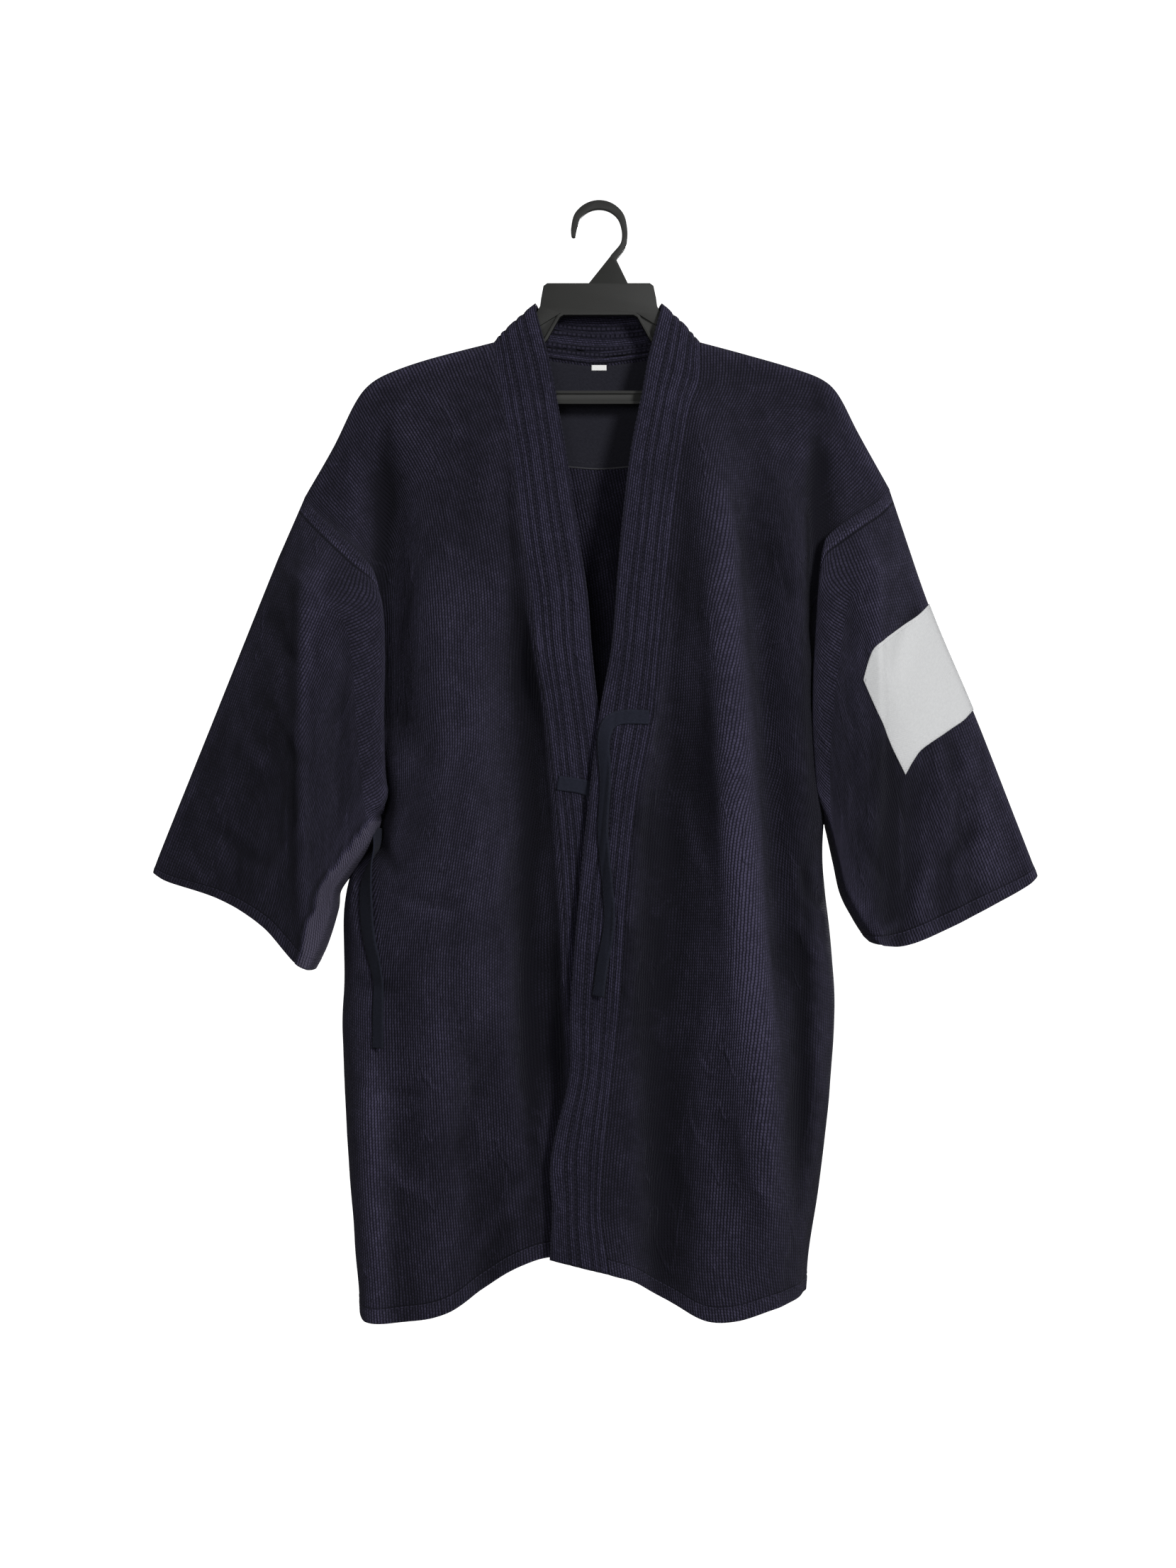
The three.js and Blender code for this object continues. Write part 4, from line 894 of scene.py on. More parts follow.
def run_along(points, axis):
    """Length from the first row or column to each place, in metres."""
    gaps = np.linalg.norm(np.diff(points, axis=axis + 1), axis=0)
    start = np.zeros_like(points[0]).take([0], axis=axis)
    return np.concatenate([start, np.cumsum(gaps, axis=axis)], axis=axis) * MM


def evened(values, reach, axes=(-2, -1)):
    """Rows, columns or both averaged over a reach of cells to each side."""
    for axis in axes:
        edges = [(0, 0)] * values.ndim
        edges[axis] = (reach + 1, reach)
        sums = np.cumsum(np.pad(values, edges, mode="edge"), axis=axis)
        count = values.shape[axis]
        window = 2 * reach + 1
        high = sums.take(np.arange(window, window + count), axis=axis)
        values = (high - sums.take(np.arange(count), axis=axis)) / window
    return values


def ridges(points, outwards):
    """How far each place stands out of, or sinks below, the cloth around it: about -1 to 1."""
    by_u, by_v = np.gradient(points, axis=2), np.gradient(points, axis=1)
    normal = np.cross(by_u, by_v, axis=0)
    normal *= outwards / np.maximum(np.linalg.norm(normal, axis=0), 1e-9)
    share = sum(
        weight * np.sum((points - evened(points, reach)) * normal, axis=0)
        for reach, weight in RIDGE_REACHES
    )
    return evened(np.clip(share, -1, 1), 1)


def no_edge(across, down, cloth):
    return cloth * 0


def no_seam(across, down, cloth):
    return np.ones_like(cloth)


def cloth_piece(
    name, surface, us, vs, thick, material, slot, node_name, flat, held,
    edge=no_edge, seam=no_seam, tone=painted_light_and_shade_bands(()), rests_on=(), closed=False, flip=False, from_end=False,
):
    """One sewn piece: a fine grid on a surface, with a wall's thickness to its inner side."""
    across, down = np.meshgrid(us, vs)
    points = surface(across, down)
    if closed:
        points[:, :, -1] = points[:, :, 0]
    width_run, length_run = run_along(points, 1), run_along(points, 0)
    if from_end:
        width_run = width_run[:, -1:] - width_run
    cloth = np.array([evened(width_run, GRAIN_REACH, (-2,)), evened(length_run, GRAIN_REACH, (-1,))])
    charts = {
        "cloth": cloth,
        "edge": edge(across, down, cloth),
        # The third chart holds ridge heights, which paint ridges paler as wear and painted light and
        # hollows darker as painted shade, and the piece's bands of painted light and shade
        "wear": np.array([ridges(points, -1 if flip else 1), tone(points[0], points[2])]),
        "seam": seam(across, down, cloth),
    }
    if flip:
        points = points[:, :, ::-1]
        charts = {key: value[:, :, ::-1] for key, value in charts.items()}
    mesh = grid_mesh(name, points, charts, closed)
    mesh.materials.append(material)
    piece = new_object(name, mesh)
    wall = piece.modifiers.new("wall", "SOLIDIFY")
    wall.thickness = thick * MM
    wall.offset = -1
    wall.use_quality_normals = True
    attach(piece, "root")
    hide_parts(node_name)


# Shader nodes

def feed(tree, socket, value):
    """Links a socket to a number or another socket, or gives it a plain value."""
    value = getattr(value, "socket", value)
    if isinstance(value, bpy.types.NodeSocket):
        tree.links.new(value, socket)
    else:
        socket.default_value = value


def node(tree, kind, inputs, **settings):
    made = tree.nodes.new(kind)
    for key, value in settings.items():
        setattr(made, key, value)
    for key, value in inputs.items():
        feed(tree, made.inputs[key], value)
    return made.outputs


class Number:
    """A number in a shader tree. Sums and products with it become nodes."""

    def __init__(self, tree, socket):
        self.tree = tree
        self.socket = socket

    def to(self, operation, *others, **settings):
        inputs = dict(enumerate((self, *others)))
        made = node(self.tree, "ShaderNodeMath", inputs, operation=operation, **settings)
        return Number(self.tree, made[0])

    def __add__(self, other):
        return self.to("ADD", other)

    def __sub__(self, other):
        return self.to("SUBTRACT", other)

    def __mul__(self, other):
        return self.to("MULTIPLY", other)

    def __truediv__(self, other):
        return self.to("DIVIDE", other)

    def scaled(self, factor, added, **settings):
        return self.to("MULTIPLY_ADD", factor, added, **settings)

    def rest(self):
        """What is left of 1."""
        return self.scaled(-1.0, 1.0)

    def ramp(self, low, high):
        """0 at low, 1 at high, smooth between."""
        inputs = {"Value": self, "From Min": low, "From Max": high}
        made = node(self.tree, "ShaderNodeMapRange", inputs, interpolation_type="SMOOTHSTEP")
        return Number(self.tree, made["Result"])


def blend(share, *colours):
    tree = share.tree
    made = tree.nodes.new("ShaderNodeMix")
    made.data_type = "RGBA"
    feed(tree, made.inputs["Factor"], share)
    for socket, colour in zip([s for s in made.inputs if s.type == "RGBA"], colours):
        feed(tree, socket, colour)
    return next(s for s in made.outputs if s.type == "RGBA")


def noise(tree, vector, scale, detail=2.0, roughness=0.5):
    inputs = {"Vector": vector, "Scale": scale, "Detail": detail, "Roughness": roughness}
    return Number(tree, node(tree, "ShaderNodeTexNoise", inputs)["Fac"])


def parts(tree, vector):
    """The first two numbers of a vector."""
    made = node(tree, "ShaderNodeSeparateXYZ", {0: vector})
    return Number(tree, made["X"]), Number(tree, made["Y"])


def chart(tree, name):
    return node(tree, "ShaderNodeUVMap", {}, uv_map=name)["UV"]


def group(name, inputs, outputs):
    """A new shader node group. An input without a number takes a vector."""
    tree = bpy.data.node_groups.new(name, "ShaderNodeTree")
    for key, value in inputs.items():
        kind = "NodeSocketVector" if value is None else "NodeSocketFloat"
        socket = tree.interface.new_socket(key, in_out="INPUT", socket_type=kind)
        if value is not None:
            socket.default_value = value
    for key in outputs:
        tree.interface.new_socket(key, in_out="OUTPUT", socket_type="NodeSocketFloat")
    given = tree.nodes.new("NodeGroupInput").outputs
    out = tree.nodes.new("NodeGroupOutput").inputs
    return tree, {key: Number(tree, given[key]) for key in inputs}, out


def use(tree, which, inputs):
    """Places a group and gives back its outputs as numbers."""
    made = node(tree, "ShaderNodeGroup", inputs, node_tree=which)
    return [Number(tree, socket) for socket in made]


def rice_grain_weave():
    """Rows of raised, staggered grains along V, with a tone for each grain."""
    tree, given, out = group("rice grain weave", {
        "Vector": None, "Rib": 0.0028, "Grain": 0.005, "Unevenness": 0.0013,
    }, ["Height", "Tone"])
    across, down = parts(tree, given["Vector"])
    shift = (noise(tree, given["Vector"], 170.0, 1.0) - 0.5) * given["Unevenness"]
    u = (across + shift) / given["Rib"]
    column = u.to("FLOOR")
    v = (down + shift) / given["Grain"] + column * 0.36
    row = v.to("FLOOR")
    over_rib = (u.to("FRACT") * math.pi).to("SINE").to("POWER", 0.7)
    over_grain = (v.to("FRACT") * math.pi).to("SINE").to("POWER", 0.6)
    cell = node(tree, "ShaderNodeCombineXYZ", {0: column, 1: row})[0]
    feed(tree, out["Height"], over_rib * over_grain.scaled(0.45, 0.55))
    feed(tree, out["Tone"], node(tree, "ShaderNodeTexWhiteNoise", {"Vector": cell})["Value"])
    return tree


def sewn_line():
    """A line of stitches at a distance from an edge: 1 on a stitch, 0 beside it."""
    tree, given, out = group("sewn line", {
        "Distance": 0.0, "Along": 0.0, "Line": 0.013, "Half Width": 0.0005, "Stitch": 0.0045,
    }, ["Stitch"])
    off = (given["Distance"] - given["Line"]).to("ABSOLUTE") / given["Half Width"]
    turn = (given["Along"] / given["Stitch"]).to("FRACT")
    on_stitch = turn.ramp(0.0, 0.12) * turn.ramp(0.62, 0.74).rest()
    feed(tree, out["Stitch"], off.ramp(0.7, 1.3).rest() * on_stitch)
    return tree


def fine_wrinkles():
    """Thin raised creases that wander over the cloth and die out: 1 along a crease, 0 beside it."""
    tree, given, out = group("fine wrinkles", {"Vector": None}, ["Height"])
    lines = []
    sets = ((17.0, 0.024, 3.1, 0.55), (44.0, 0.03, 7.7, -0.7), (30.0, 0.02, 5.3, 1.2))
    for scale, reach, start, turn in sets:
        place = node(tree, "ShaderNodeMapping", {
            "Vector": given["Vector"], "Location": (start, -start, 0), "Rotation": (0, 0, turn),
            "Scale": (1, 0.35, 1),
        })[0]
        off = (noise(tree, place, scale, 1.5, 0.45) - 0.5).to("ABSOLUTE")
        where = noise(tree, place, scale * 0.8 + 3, 1.0).ramp(0.5, 0.72)
        lines.append(off.ramp(0.0, reach).rest() * where)
    feed(tree, out["Height"], lines[0] + lines[1] + lines[2])
    return tree


WEAVE = rice_grain_weave()
STITCHES = sewn_line()
WRINKLES = fine_wrinkles()


def sewn(distance, along, line, half_width=0.0005):
    inputs = {"Distance": distance, "Along": along, "Line": line, "Half Width": half_width}
    return use(distance.tree, STITCHES, inputs)[0]


def rim_of(distance, line, reach):
    """1 on a line at a distance from an edge, and 0 past its reach."""
    return (distance - line).to("ABSOLUTE").ramp(reach * 0.3, reach).rest()


# Materials: dark and worn colours, the worn ones also painted light, then relief and grains in metres

SASHIKO_DEEP = (0.0030, 0.0027, 0.0056, 1)
SASHIKO_WORN_AND_PAINTED_LIGHT = (0.0455, 0.041, 0.0745, 1)
THREADBARE_AND_PAINTED_LIGHT = (0.066, 0.060, 0.088, 1)
BAND_DEEP = (0.0030, 0.0027, 0.0062, 1)
BAND_WORN_AND_PAINTED_LIGHT = (0.031, 0.028, 0.053, 1)
BAND_THREAD = (0.034, 0.031, 0.052, 1)
LINING_RIM = (0.075, 0.075, 0.085, 1)
SASHIKO_RELIEF = 0.0012
BAND_RELIEF = 0.001
PLASTIC_RELIEF = 0.00008
SASHIKO_GRAIN = (0.0028, 0.0027)
BAND_GRAIN = (0.0022, 0.0028)
CHANNEL_WIDTH = 0.009
FIBRE_SCALE = 2600.0


def new_material(name, settings):
    material = bpy.data.materials.new(name)
    material.use_nodes = True
    tree = material.node_tree
    shader = tree.nodes["Principled BSDF"].inputs
    for key, value in settings.items():
        shader[key].default_value = value
    return material, tree, shader


def coat(tree, shader, colour, height, relief):
    feed(tree, shader["Base Color"], colour)
    made = node(tree, "ShaderNodeBump", {"Height": height, "Distance": relief})
    feed(tree, shader["Normal"], made["Normal"])


def grained_cotton(name, grain, fading_scale, top_from):
    """What both sashiko cloths share: charts, grains, fibre, fading, wrinkles, and wear with painted light
    and shade.
    """
    material, tree, shader = new_material(name, {
        "Roughness": 0.92, "Specular IOR Level": 0.12, "Sheen Weight": 0.03, "Sheen Roughness": 0.6,
        "Sheen Tint": (0.75, 0.75, 1.0, 1.0),
    })
    cloth = chart(tree, "cloth")
    height, tone = use(tree, WEAVE, {"Vector": cloth, "Rib": grain[0], "Grain": grain[1]})
    return SimpleNamespace(
        material=material, tree=tree, shader=shader, cloth=cloth, height=height, tone=tone,
        top=height.ramp(top_from, 0.95), fibre=noise(tree, cloth, FIBRE_SCALE, 3.0, 0.7),
        fading=noise(tree, cloth, fading_scale, 3.0), wrinkles=use(tree, WRINKLES, {"Vector": cloth})[0],
        edge=parts(tree, chart(tree, "edge")), wear=parts(tree, chart(tree, "wear")),
    )


def finish_cotton(made, colour, stitches, stitch_height, wrinkle_height, relief):
    """Grains, fibre, stitches and wrinkles as relief."""
    height = stitches.scaled(stitch_height, made.fibre.scaled(0.12, made.height))
    coat(made.tree, made.shader, colour, made.wrinkles.scaled(wrinkle_height, height), relief)
    return made.material


def sashiko_cloth():
    """Staggered grains, their tops worn paler, with sewn lines beside the hem and the felled seams, and
    painted light and shade on ridges, in bands and beside the seams.
    """
    made = grained_cotton("sashiko cloth", SASHIKO_GRAIN, 9.0, 0.3)
    tree, top = made.tree, made.top
    from_edge, along_edge = made.edge
    from_seam, along_seam = parts(tree, chart(tree, "seam"))
    ridge_wear_and_painted_shading, painted_shading_and_wear = made.wear
    at_seam = sewn(from_seam, along_seam, FELLED_STITCH * MM, 0.0006)
    stitches = sewn(from_edge, along_edge, HEM_BAND * STITCHED_AT * MM).to("MAXIMUM", at_seam)
    rubbed = rim_of(from_edge, 0.0, 0.0022).to("MAXIMUM", rim_of(from_seam, FELLED * MM, 0.0016))
    # The fading adds the bands of painted light and shade to the dye's random fading
    fading = painted_shading_and_wear.scaled(0.34, made.fading)
    for place, strength in (
        (noise(tree, made.cloth, 70.0, 4.0, 0.65) - 0.5, 0.7),
        (rubbed, 0.5),
        # A painted shade line just past the felled seam's raised band
        (rim_of(from_seam, (FELLED + 2.6) * MM, 0.0014), -0.45),
        (made.wrinkles, 0.2),
        (from_edge.ramp(0.012, 0.0135).rest(), 0.16),
        # A painted shade line at the step of the turned hem
        (rim_of(from_edge, 0.0142, 0.0012), -0.35),
    ):
        fading = place.scaled(strength, fading)
    paler = top * made.tone.scaled(0.4, 0.55) * fading.scaled(1.05, -0.08)
    # Ridges painted paler, as wear and painted light, and hollows painted darker, as painted shade
    paler = paler * made.fibre.scaled(0.8, 0.6) * ridge_wear_and_painted_shading.scaled(0.6, 1.0)
    paler = ridge_wear_and_painted_shading.scaled(0.1, paler, use_clamp=True)
    colour = blend(paler, SASHIKO_DEEP, SASHIKO_WORN_AND_PAINTED_LIGHT)
    # Where the painted tone passes 1.6, on the felled strip, the cloth turns palest: threadbare wear and
    # painted light
    colour = blend(painted_shading_and_wear.ramp(1.6, 2.4) * top.scaled(0.45, 0.4), colour, THREADBARE_AND_PAINTED_LIGHT)
    colour = blend(stitches * 0.5, colour, SASHIKO_WORN_AND_PAINTED_LIGHT)
    return finish_cotton(made, colour, stitches, 0.7, 1.3, SASHIKO_RELIEF)


def band_cloth():
    """The neckband's cloth: finer grains, with four lengthwise stitch lines."""
    made = grained_cotton("neckband cloth", BAND_GRAIN, 14.0, 0.35)
    channels, along = made.edge
    off = ((channels - channels.to("ROUND")) * CHANNEL_WIDTH).to("ABSOLUTE")
    stitches = sewn(off, along, 0.0)
    valley = off.ramp(0.0006, 0.0022).rest()
    rim = channels.ramp(CHANNELS - 0.35, CHANNELS - 0.02).to("MAXIMUM", rim_of(channels, 0.05, 0.3))
    paler = made.top * made.tone.scaled(0.6, 0.45) * made.fading.scaled(1.7, 0.1)
    paler = made.wrinkles.scaled(0.16, rim.scaled(0.32, paler))
    # Ridges painted paler and hollows darker: wear with painted light and painted shade
    paler = paler * valley.scaled(-0.85, 1.0) * made.wear[0].scaled(0.8, 1.0)
    paler = paler.to("MULTIPLY", made.fibre.scaled(0.8, 0.6), use_clamp=True)
    colour = blend(paler, BAND_DEEP, BAND_WORN_AND_PAINTED_LIGHT)
    colour = blend(stitches * 0.4, colour, BAND_THREAD)
    return finish_cotton(made, colour, stitches, 0.5, 1.6, BAND_RELIEF)


def plain_cloth(name, thread, deep, pale, roughness, relief, stitch_line=None, rim=None):
    """Flat plain weave: crossing threads, a little uneven in tone."""
    material, tree, shader = new_material(name, {
        "Roughness": roughness, "Specular IOR Level": 0.1, "Sheen Weight": 0.02, "Sheen Roughness": 0.5,
    })
    cloth = chart(tree, "cloth")
    over, under = [(place * (math.pi / thread)).to("SINE") for place in parts(tree, cloth)]
    height = (over * under).scaled(0.5, 0.5)
    slub = noise(tree, cloth, 420.0, 3.0, 0.6)
    share = slub.scaled(0.8, 0.2).to("MULTIPLY", height.scaled(0.4, 0.7), use_clamp=True)
    colour = blend(share, deep, pale)
    height = slub.scaled(0.5, height)
    if stitch_line is not None:
        from_edge, along = parts(tree, chart(tree, "edge"))
        stitches = sewn(from_edge, along, stitch_line)
        colour = blend(stitches * 0.6, colour, pale)
        height = stitches.scaled(1.2, height)
        if rim is not None:
            colour = blend(rim_of(from_edge, 0.0005, 0.0012) * 0.8, colour, rim)
    coat(tree, shader, colour, height, relief)
    return material


def moulded_plastic():
    """Satin black plastic with a fine grain and rubbed, duller patches."""
    material, tree, shader = new_material("hanger plastic", {"Specular IOR Level": 0.16})
    place = node(tree, "ShaderNodeTexCoord", {})["Object"]
    rubbed = noise(tree, place, 22.0, 3.0)
    feed(tree, shader["Roughness"], rubbed.scaled(0.2, 0.42))
    colour = blend(rubbed, (0.011, 0.011, 0.0105, 1), (0.019, 0.0195, 0.018, 1))
    coat(tree, shader, colour, noise(tree, place, 1800.0, 2.0), PLASTIC_RELIEF)
    return material


# Grids: close rows where a round starts steep

def spaced(start, stop, count):
    return np.linspace(start, stop, count + 1)


def eased(start, stop, count):
    """Steps that begin very small at start."""
    return start + (stop - start) * np.linspace(0, 1, count + 1) ** 2


def joined(*runs):
    """One run of places after another, each shared end once."""
    return np.concatenate([*(run[:-1] for run in runs[:-1]), runs[-1]])


INSET = 0.0012
FRONT_V = joined(spaced(-SEAM_DROP / WRAP_SCALE, 0, 6), eased(0, 0.012, 8), spaced(0.012, 1, 270))
FRONT_U = spaced(INSET, 1 - INSET, 130)
BACK_V = joined(eased(0, 0.012, 6), spaced(0.012, 1, 200))
BACK_U = spaced(INSET / 2, 1 - INSET / 2, 210)
ROUND_END = eased(0, 0.06, 10)
ROUND_Q = joined(
    ROUND_END, spaced(0.06, 0.44, 66), (0.5 - ROUND_END)[::-1],
    0.5 + ROUND_END, spaced(0.56, 0.94, 54), (1 - ROUND_END)[::-1],
)
ROUND_S = joined(spaced(0.002, 0.05, 18), spaced(0.05, LAP_SHARE, 18), spaced(LAP_SHARE, 1, 96))
BAND_W = spaced(-0.03, 1, 46)
BAND_DOWN = FRONT_V[FRONT_V > 0]
BAND_T = np.concatenate([
    PASSES[0] * (1 - BAND_DOWN[::-1]),
    joined(spaced(*PASSES[:2], 6), spaced(*PASSES[1:3], 70), spaced(*PASSES[2:], 6)),
    mix(PASSES[3], 1, BAND_DOWN),
])


# Distances from the edges, for the stitch lines and the rubbed rims

def hem_edge(across, down, cloth):
    """Distance from the hem, the last row, and the way along it."""
    return np.array([cloth[1][-1:] - cloth[1], cloth[0]])


def cuff_edge(cut):
    return lambda across, down, cloth: np.array([from_cuff(cut, across, down) * MM, cloth[0]])


def armhole_seam(cut):
    return lambda across, down, cloth: np.array([from_armhole(cut, across, down) * MM, cloth[0]])


def channel_edge(across, down, cloth):
    """Channels across the band, and the length along it."""
    return np.array([channel(across, down), cloth[1]])


def tape_edge(across, down, cloth):
    return np.array([np.minimum(across, 1 - across) * TIE_WIDTH * MM, cloth[1]])


def patch_edge(across, down, cloth):
    """Distance from the nearest of the patch's four edges, and the way along it."""
    in_u = np.minimum(cloth[0], cloth[0][:, -1:] - cloth[0])
    in_v = np.minimum(cloth[1], cloth[1][-1:] - cloth[1])
    return np.array([np.minimum(in_u, in_v), np.where(in_u < in_v, cloth[1], cloth[0])])


# Pieces

def dress_body():
    cloth = sashiko_cloth()
    front, tube = (FRONT_U, FRONT_V), (ROUND_Q, ROUND_S)
    # The tone column gives each piece its bands of painted light and shade
    for name, surface, grid, node_name, flat, edge, tone, options in (
        ("right_front_panel", dressed_right_front, front, "front_right", (0.31, 0.90, 0.188),
         hem_edge, painted_light_and_shade_bands(RIGHT_FRONT_PAINTED_LIGHT_AND_SHADE), {"from_end": True}),
        ("left_front_panel", dressed_left_front, front, "front_left", (0.31, 0.90, 0.198),
         hem_edge, painted_light_and_shade_bands(LEFT_FRONT_PAINTED_LIGHT_AND_SHADE), {"flip": True}),
        ("back_panel", dressed_back, (BACK_U, BACK_V), "back", (0.67, 0.88, 0.415),
         hem_edge, painted_light_and_shade_bands(BACK_PAINTED_LIGHT_AND_SHADE), {}),
        ("right_sleeve_tube", dressed_right_sleeve, tube, "sleeve_right", (0.66, 0.40, 0.128),
         cuff_edge(RIGHT_SLEEVE), right_sleeve_painted_shading_and_wear,
         {"seam": armhole_seam(RIGHT_SLEEVE), "closed": True, "flip": True}),
        ("left_sleeve_tube", dressed_left_sleeve, tube, "sleeve_left", (0.66, 0.40, 0.12),
         cuff_edge(LEFT_SLEEVE), painted_light_and_shade_bands(LEFT_SLEEVE_PAINTED_LIGHT_AND_SHADE),
         {"seam": armhole_seam(LEFT_SLEEVE), "closed": True}),
    ):
        cloth_piece(
            name, surface, *grid, CLOTH, cloth, "sashiko_cloth", node_name, flat, "hung",
            edge=edge, tone=tone, **options,
        )
    cloth_piece(
        "neckband", dressed_band, BAND_W, BAND_T, BAND, band_cloth(), "neckband_cloth", "collar",
        (0.055, 2.0, 0.093), "hung", edge=channel_edge,
    )


LINED_ACROSS = (0.21, 0.79)
LINED_DOWN = (0.005, 0.13)


def line_yoke():
    face = lifted(back_surface, -(CLOTH + LAID_GAP), BACK_LIMITS)
    cloth = plain_cloth(
        "lining cloth", 0.0006, (0.005, 0.005, 0.008, 1), (0.022, 0.022, 0.030, 1), 0.9, 0.0003,
        stitch_line=0.006, rim=LINING_RIM,
    )
    cloth_piece(
        "yoke_lining_panel", face, spaced(*LINED_ACROSS, 90), spaced(*LINED_DOWN, 34), LINING, cloth,
        "lining_cloth", "yoke_lining", (0.36, 0.11, 0.0335), "stretched", edge=hem_edge,
        rests_on=("back_panel",),
    )


# Ties: share of the way, x, z and turn of the tape's face
LEFT_TIE = table([
    (0, 44, -467, 0), (0.09, 20, -467, 0), (0.15, 8, -473, 0.1), (0.21, 3.5, -489, 0.4),
    (0.35, 4.6, -526, 0.7), (0.5, 2.6, -572, 0.75), (0.7, 7, -627, 0.8), (0.8, 7.5, -653, 0.8),
    (0.92, 1.3, -692, 0.7), (1, -2, -717, 0.6),
])
RIGHT_TIE = table([
    (0, -38, -526, 0), (0.1, -14, -530, 0), (0.17, -3, -538, 0), (0.24, 1, -555, 0),
    (0.6, 2, -650, 0), (1, 4, -752, 0),
])
SIDE_TIE = table([
    (0, -196, -568, 1.25), (0.12, -199, -594, 1.1), (0.25, -202, -622, 0.95), (0.5, -203, -668, 0.9),
    (0.7, -199.5, -706, 0.85),
    (0.85, -200, -735, 0.85), (1, -200, -764, 0.8),
])
SHOULDER_Z = -122
BAND_DROP = 830
SIDE_DROP = 870
SIDE_TIE_LIFT = 0.15


def sew_ties():
    tape = plain_cloth(
        "tie tape", 0.0005, (0.0046, 0.0052, 0.0095, 1), (0.0170, 0.0185, 0.0300, 1), 0.9, 0.0002,
        stitch_line=0.0015,
    )
    lift = LAID_GAP + TAPE

    def on_band(start, stop):
        return lambda z: (np.full_like(z, 0.5), clamp(mix(start, stop, (SHOULDER_Z - z) / BAND_DROP)))

    def on_side(z):
        return np.full_like(z, 0.85), clamp((SHOULDER_Z - z) / SIDE_DROP)

    band = (dressed_band, band_surface)
    front = (dressed_right_front, right_front)
    for name, faces, guess, path, off, node_name, length in (
        ("left_front_tie", band, on_band(PASSES[3], 1), LEFT_TIE, lift, "tie_front_left", 0.30),
        ("right_front_tie", band, on_band(PASSES[0], 0), RIGHT_TIE, lift, "tie_front_right", 0.27),
        ("right_side_tie", front, on_side, SIDE_TIE, lift + SIDE_TIE_LIFT, "tie_side_right", 0.22),
    ):
        cloth_piece(
            name, laid_strip(*faces, guess, path, TIE_WIDTH, off), spaced(0, 1, 10), spaced(0, 1, 150),
            TAPE, tape, "tie_tape", node_name, (TIE_WIDTH * MM, length, None), "hung",
            edge=tape_edge, flip=True,
        )


# The patch on the left sleeve: along the sleeve, and round it from behind its top fold to the front
PATCH_ALONG = (0.285, 0.555)
PATCH_ROUND = (-0.1, 0.2)


def sew_patch():
    face = lifted(dressed_left_sleeve, LAID_GAP + PATCH_CLOTH, ROUND_LIMITS)
    cloth = plain_cloth(
        "bare patch cloth", 0.0005, (0.42, 0.425, 0.43, 1), (0.58, 0.585, 0.59, 1), 0.85, 0.00025,
        stitch_line=0.0025,
    )
    over_fold = eased(0, 0.03, 8)
    around = joined(
        spaced(PATCH_ROUND[0], -0.03, 30), -over_fold[::-1], over_fold, spaced(0.03, PATCH_ROUND[1], 60)
    )
    cloth_piece(
        "bare_name_patch", face, around, spaced(*PATCH_ALONG, 70), PATCH_CLOTH, cloth,
        "bare_patch", "name_patch", (0.15, 0.11, 0.0145), "laid", edge=patch_edge,
        rests_on=("left_sleeve_tube",),
    )


LABEL_X = (-7.5, 6.5)
LABEL_Z = -141.5


def sew_label():
    path = table([(end, x, LABEL_Z, 0) for end, x in enumerate(LABEL_X)])
    lift = -(CLOTH + LINING + 2 * LAID_GAP)

    def guess(z):
        return np.full_like(z, 0.5), np.full_like(z, 0.01)

    face = laid_strip(back_surface, back_surface, guess, path, LABEL_WIDTH, lift)
    cloth = plain_cloth(
        "bare label tape", 0.0003, (0.60, 0.60, 0.59, 1), (0.80, 0.80, 0.79, 1), 0.6, 0.0001
    )
    cloth_piece(
        "bare_size_label", face, spaced(0, 1, 6), spaced(0, 1, 14), LABEL_TAPE, cloth, "bare_label",
        "size_label", (0.014, 0.0101, 0.00009), "laid", rests_on=("yoke_lining_panel",),
    )


HANGER_ROUND = 0.7
HANGER_EDGE = math.radians(40)


def mould_hanger():
    """The hanger's solid with its edges rounded."""
    bm = bmesh.new()
    bm.from_mesh(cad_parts["hanger"].data)
    bmesh.ops.remove_doubles(bm, verts=bm.verts[:], dist=0.01 * MM)
    bmesh.ops.dissolve_limit(bm, angle_limit=math.radians(1), verts=bm.verts[:], edges=bm.edges[:])
    bmesh.ops.bevel(
        bm, geom=[e for e in bm.edges if e.calc_face_angle(0) > HANGER_EDGE], offset=HANGER_ROUND * MM,
        segments=3, profile=0.5, affect="EDGES", clamp_overlap=True, material=-1,
    )
    mesh = mesh_of("moulded_hanger", bm)
    mesh.materials.append(moulded_plastic())
    mesh.set_sharp_from_angle(angle=math.radians(35))
    hanger = new_object("moulded_hanger", mesh)
    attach(hanger, "root")
    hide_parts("hanger")


dress_body()
line_yoke()
sew_ties()
sew_patch()
sew_label()
mould_hanger()


# Stage, light and camera, in metres

PHOTO_HEIGHT = 1.438
CAMERA_DISTANCE = 2.3
CAMERA_X = -0.0107
CAMERA_Z = -0.527
SENSOR = 36.0
FLOOR_Z = -1.75
FLOOR_REACH = 4.0
FLOOR_TURN = 2.5
FLOOR_HALF_WIDTH = 9
WALL_HEIGHT = 4
CHEST = Vector((0, 0, -0.5))


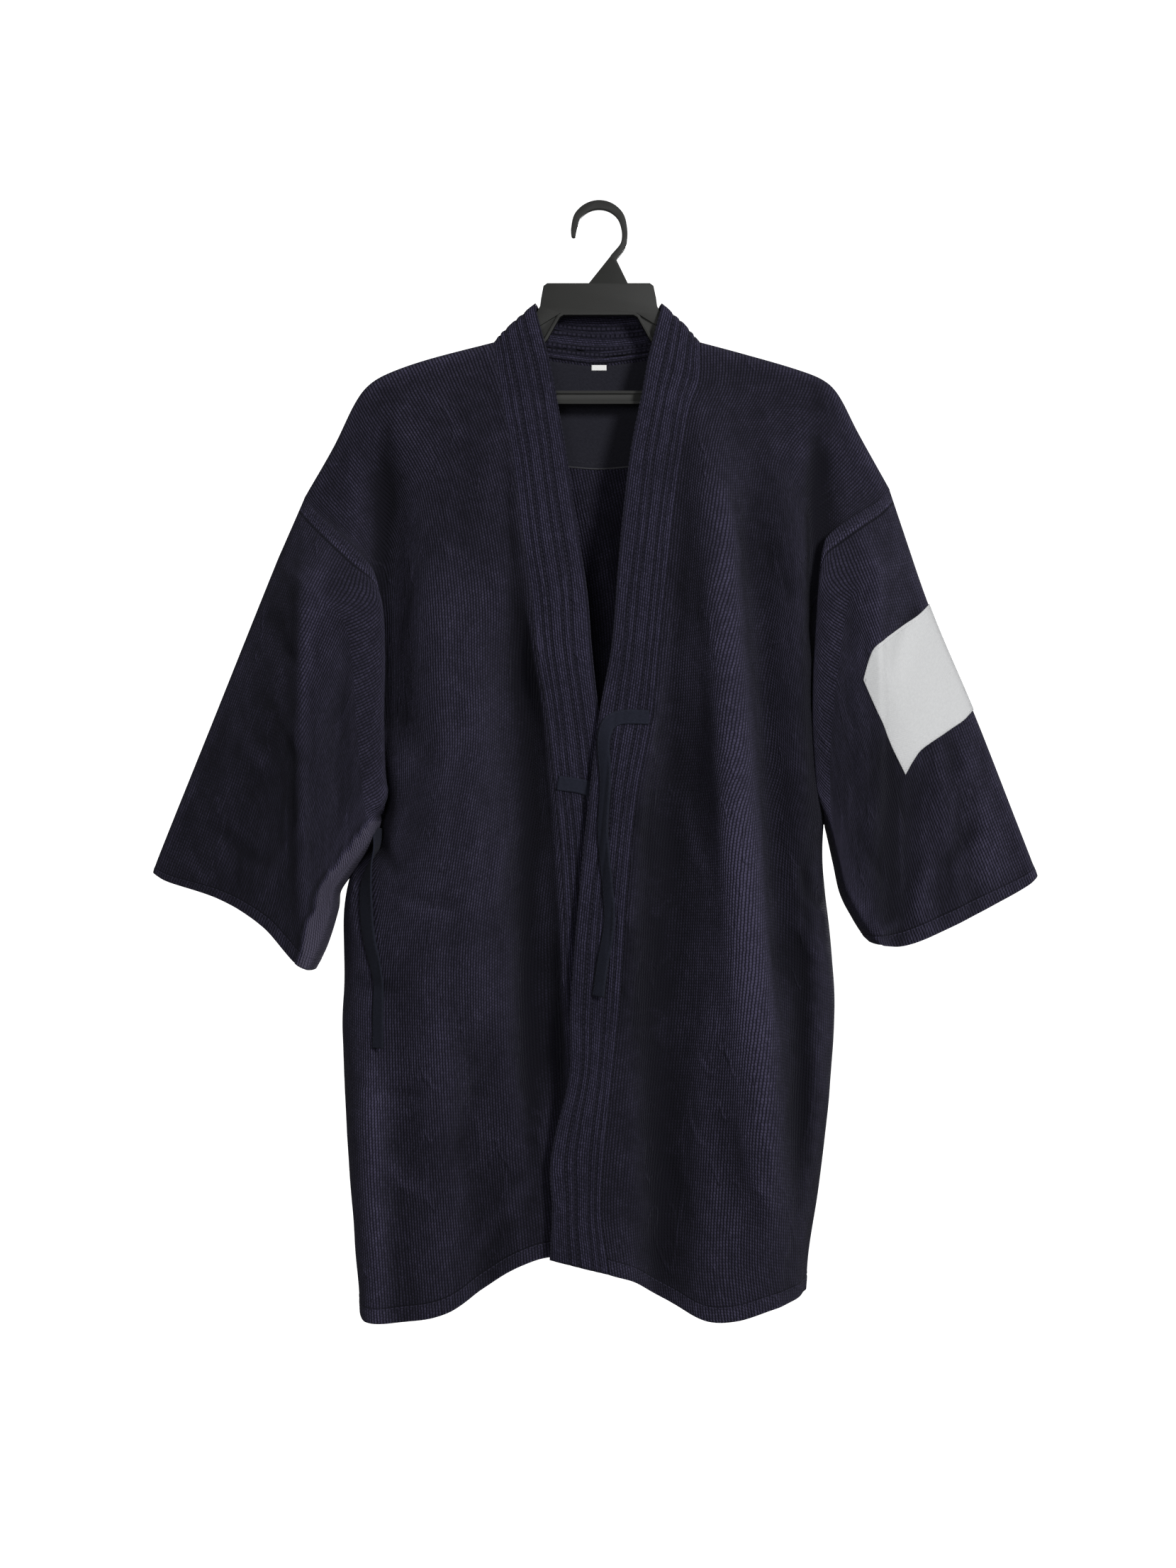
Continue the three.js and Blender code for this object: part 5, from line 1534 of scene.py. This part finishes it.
def lay_floor():
    """A pale floor that curves up into a wall far behind."""
    bm = bmesh.new()
    bmesh.ops.create_grid(bm, x_segments=2, y_segments=60, size=1)
    flat, bend = FLOOR_REACH * 2, FLOOR_TURN * math.pi / 2
    for vertex in bm.verts:
        run = (vertex.co.y + 1) / 2 * (flat + bend + WALL_HEIGHT)
        angle = max(0, min(bend, run - flat)) / FLOOR_TURN
        y = min(run, flat) - FLOOR_REACH + FLOOR_TURN * math.sin(angle)
        rise = FLOOR_TURN * (1 - math.cos(angle)) + max(0, run - flat - bend)
        vertex.co = (vertex.co.x * FLOOR_HALF_WIDTH, y, FLOOR_Z + rise)
    mesh = mesh_of("pale_floor", bm)
    mesh.materials.append(new_material("pale floor", {
        "Base Color": (0.85, 0.85, 0.85, 1), "Roughness": 0.9, "Emission Color": (1, 1, 1, 1),
        "Emission Strength": 1.0,
    })[0])
    floor = new_object("pale_floor", mesh)
    floor.visible_diffuse = False
    floor.visible_glossy = False


def soft_light(name, place, size, power):
    data = bpy.data.lights.new(name, "AREA")
    data.shape = "DISK"
    data.size = size
    data.energy = power
    light = new_object(name, data)
    light.location = place
    light.rotation_euler = (CHEST - Vector(place)).to_track_quat("-Z", "Y").to_euler()


def white_surround():
    """A dim white world round the cloth, which the camera sees at full white."""
    world = bpy.data.worlds.new("studio")
    world.use_nodes = True
    tree = world.node_tree
    background = tree.nodes["Background"].inputs
    background["Color"].default_value = (1, 1, 1, 1)
    seen = Number(tree, node(tree, "ShaderNodeLightPath", {})["Is Camera Ray"])
    feed(tree, background["Strength"], seen.scaled(0.77, 0.23))
    bpy.context.scene.world = world


def place_camera():
    data = bpy.data.cameras.new("camera")
    data.sensor_width = SENSOR
    data.lens = SENSOR * CAMERA_DISTANCE / PHOTO_HEIGHT
    camera = new_object("camera", data)
    camera.location = (CAMERA_X, -CAMERA_DISTANCE, CAMERA_Z)
    camera.rotation_euler = (math.pi / 2, 0, 0)
    bpy.context.scene.camera = camera


lay_floor()
white_surround()
soft_light("key", (1.3, -2.3, 0.4), 0.6, 70)
soft_light("fill", (-0.4, -2.9, -0.1), 1.0, 21)
soft_light("back light", (0.9, 2.5, 0.5), 0.9, 80)
place_camera()
bpy.context.scene.view_settings.view_transform = "Standard"
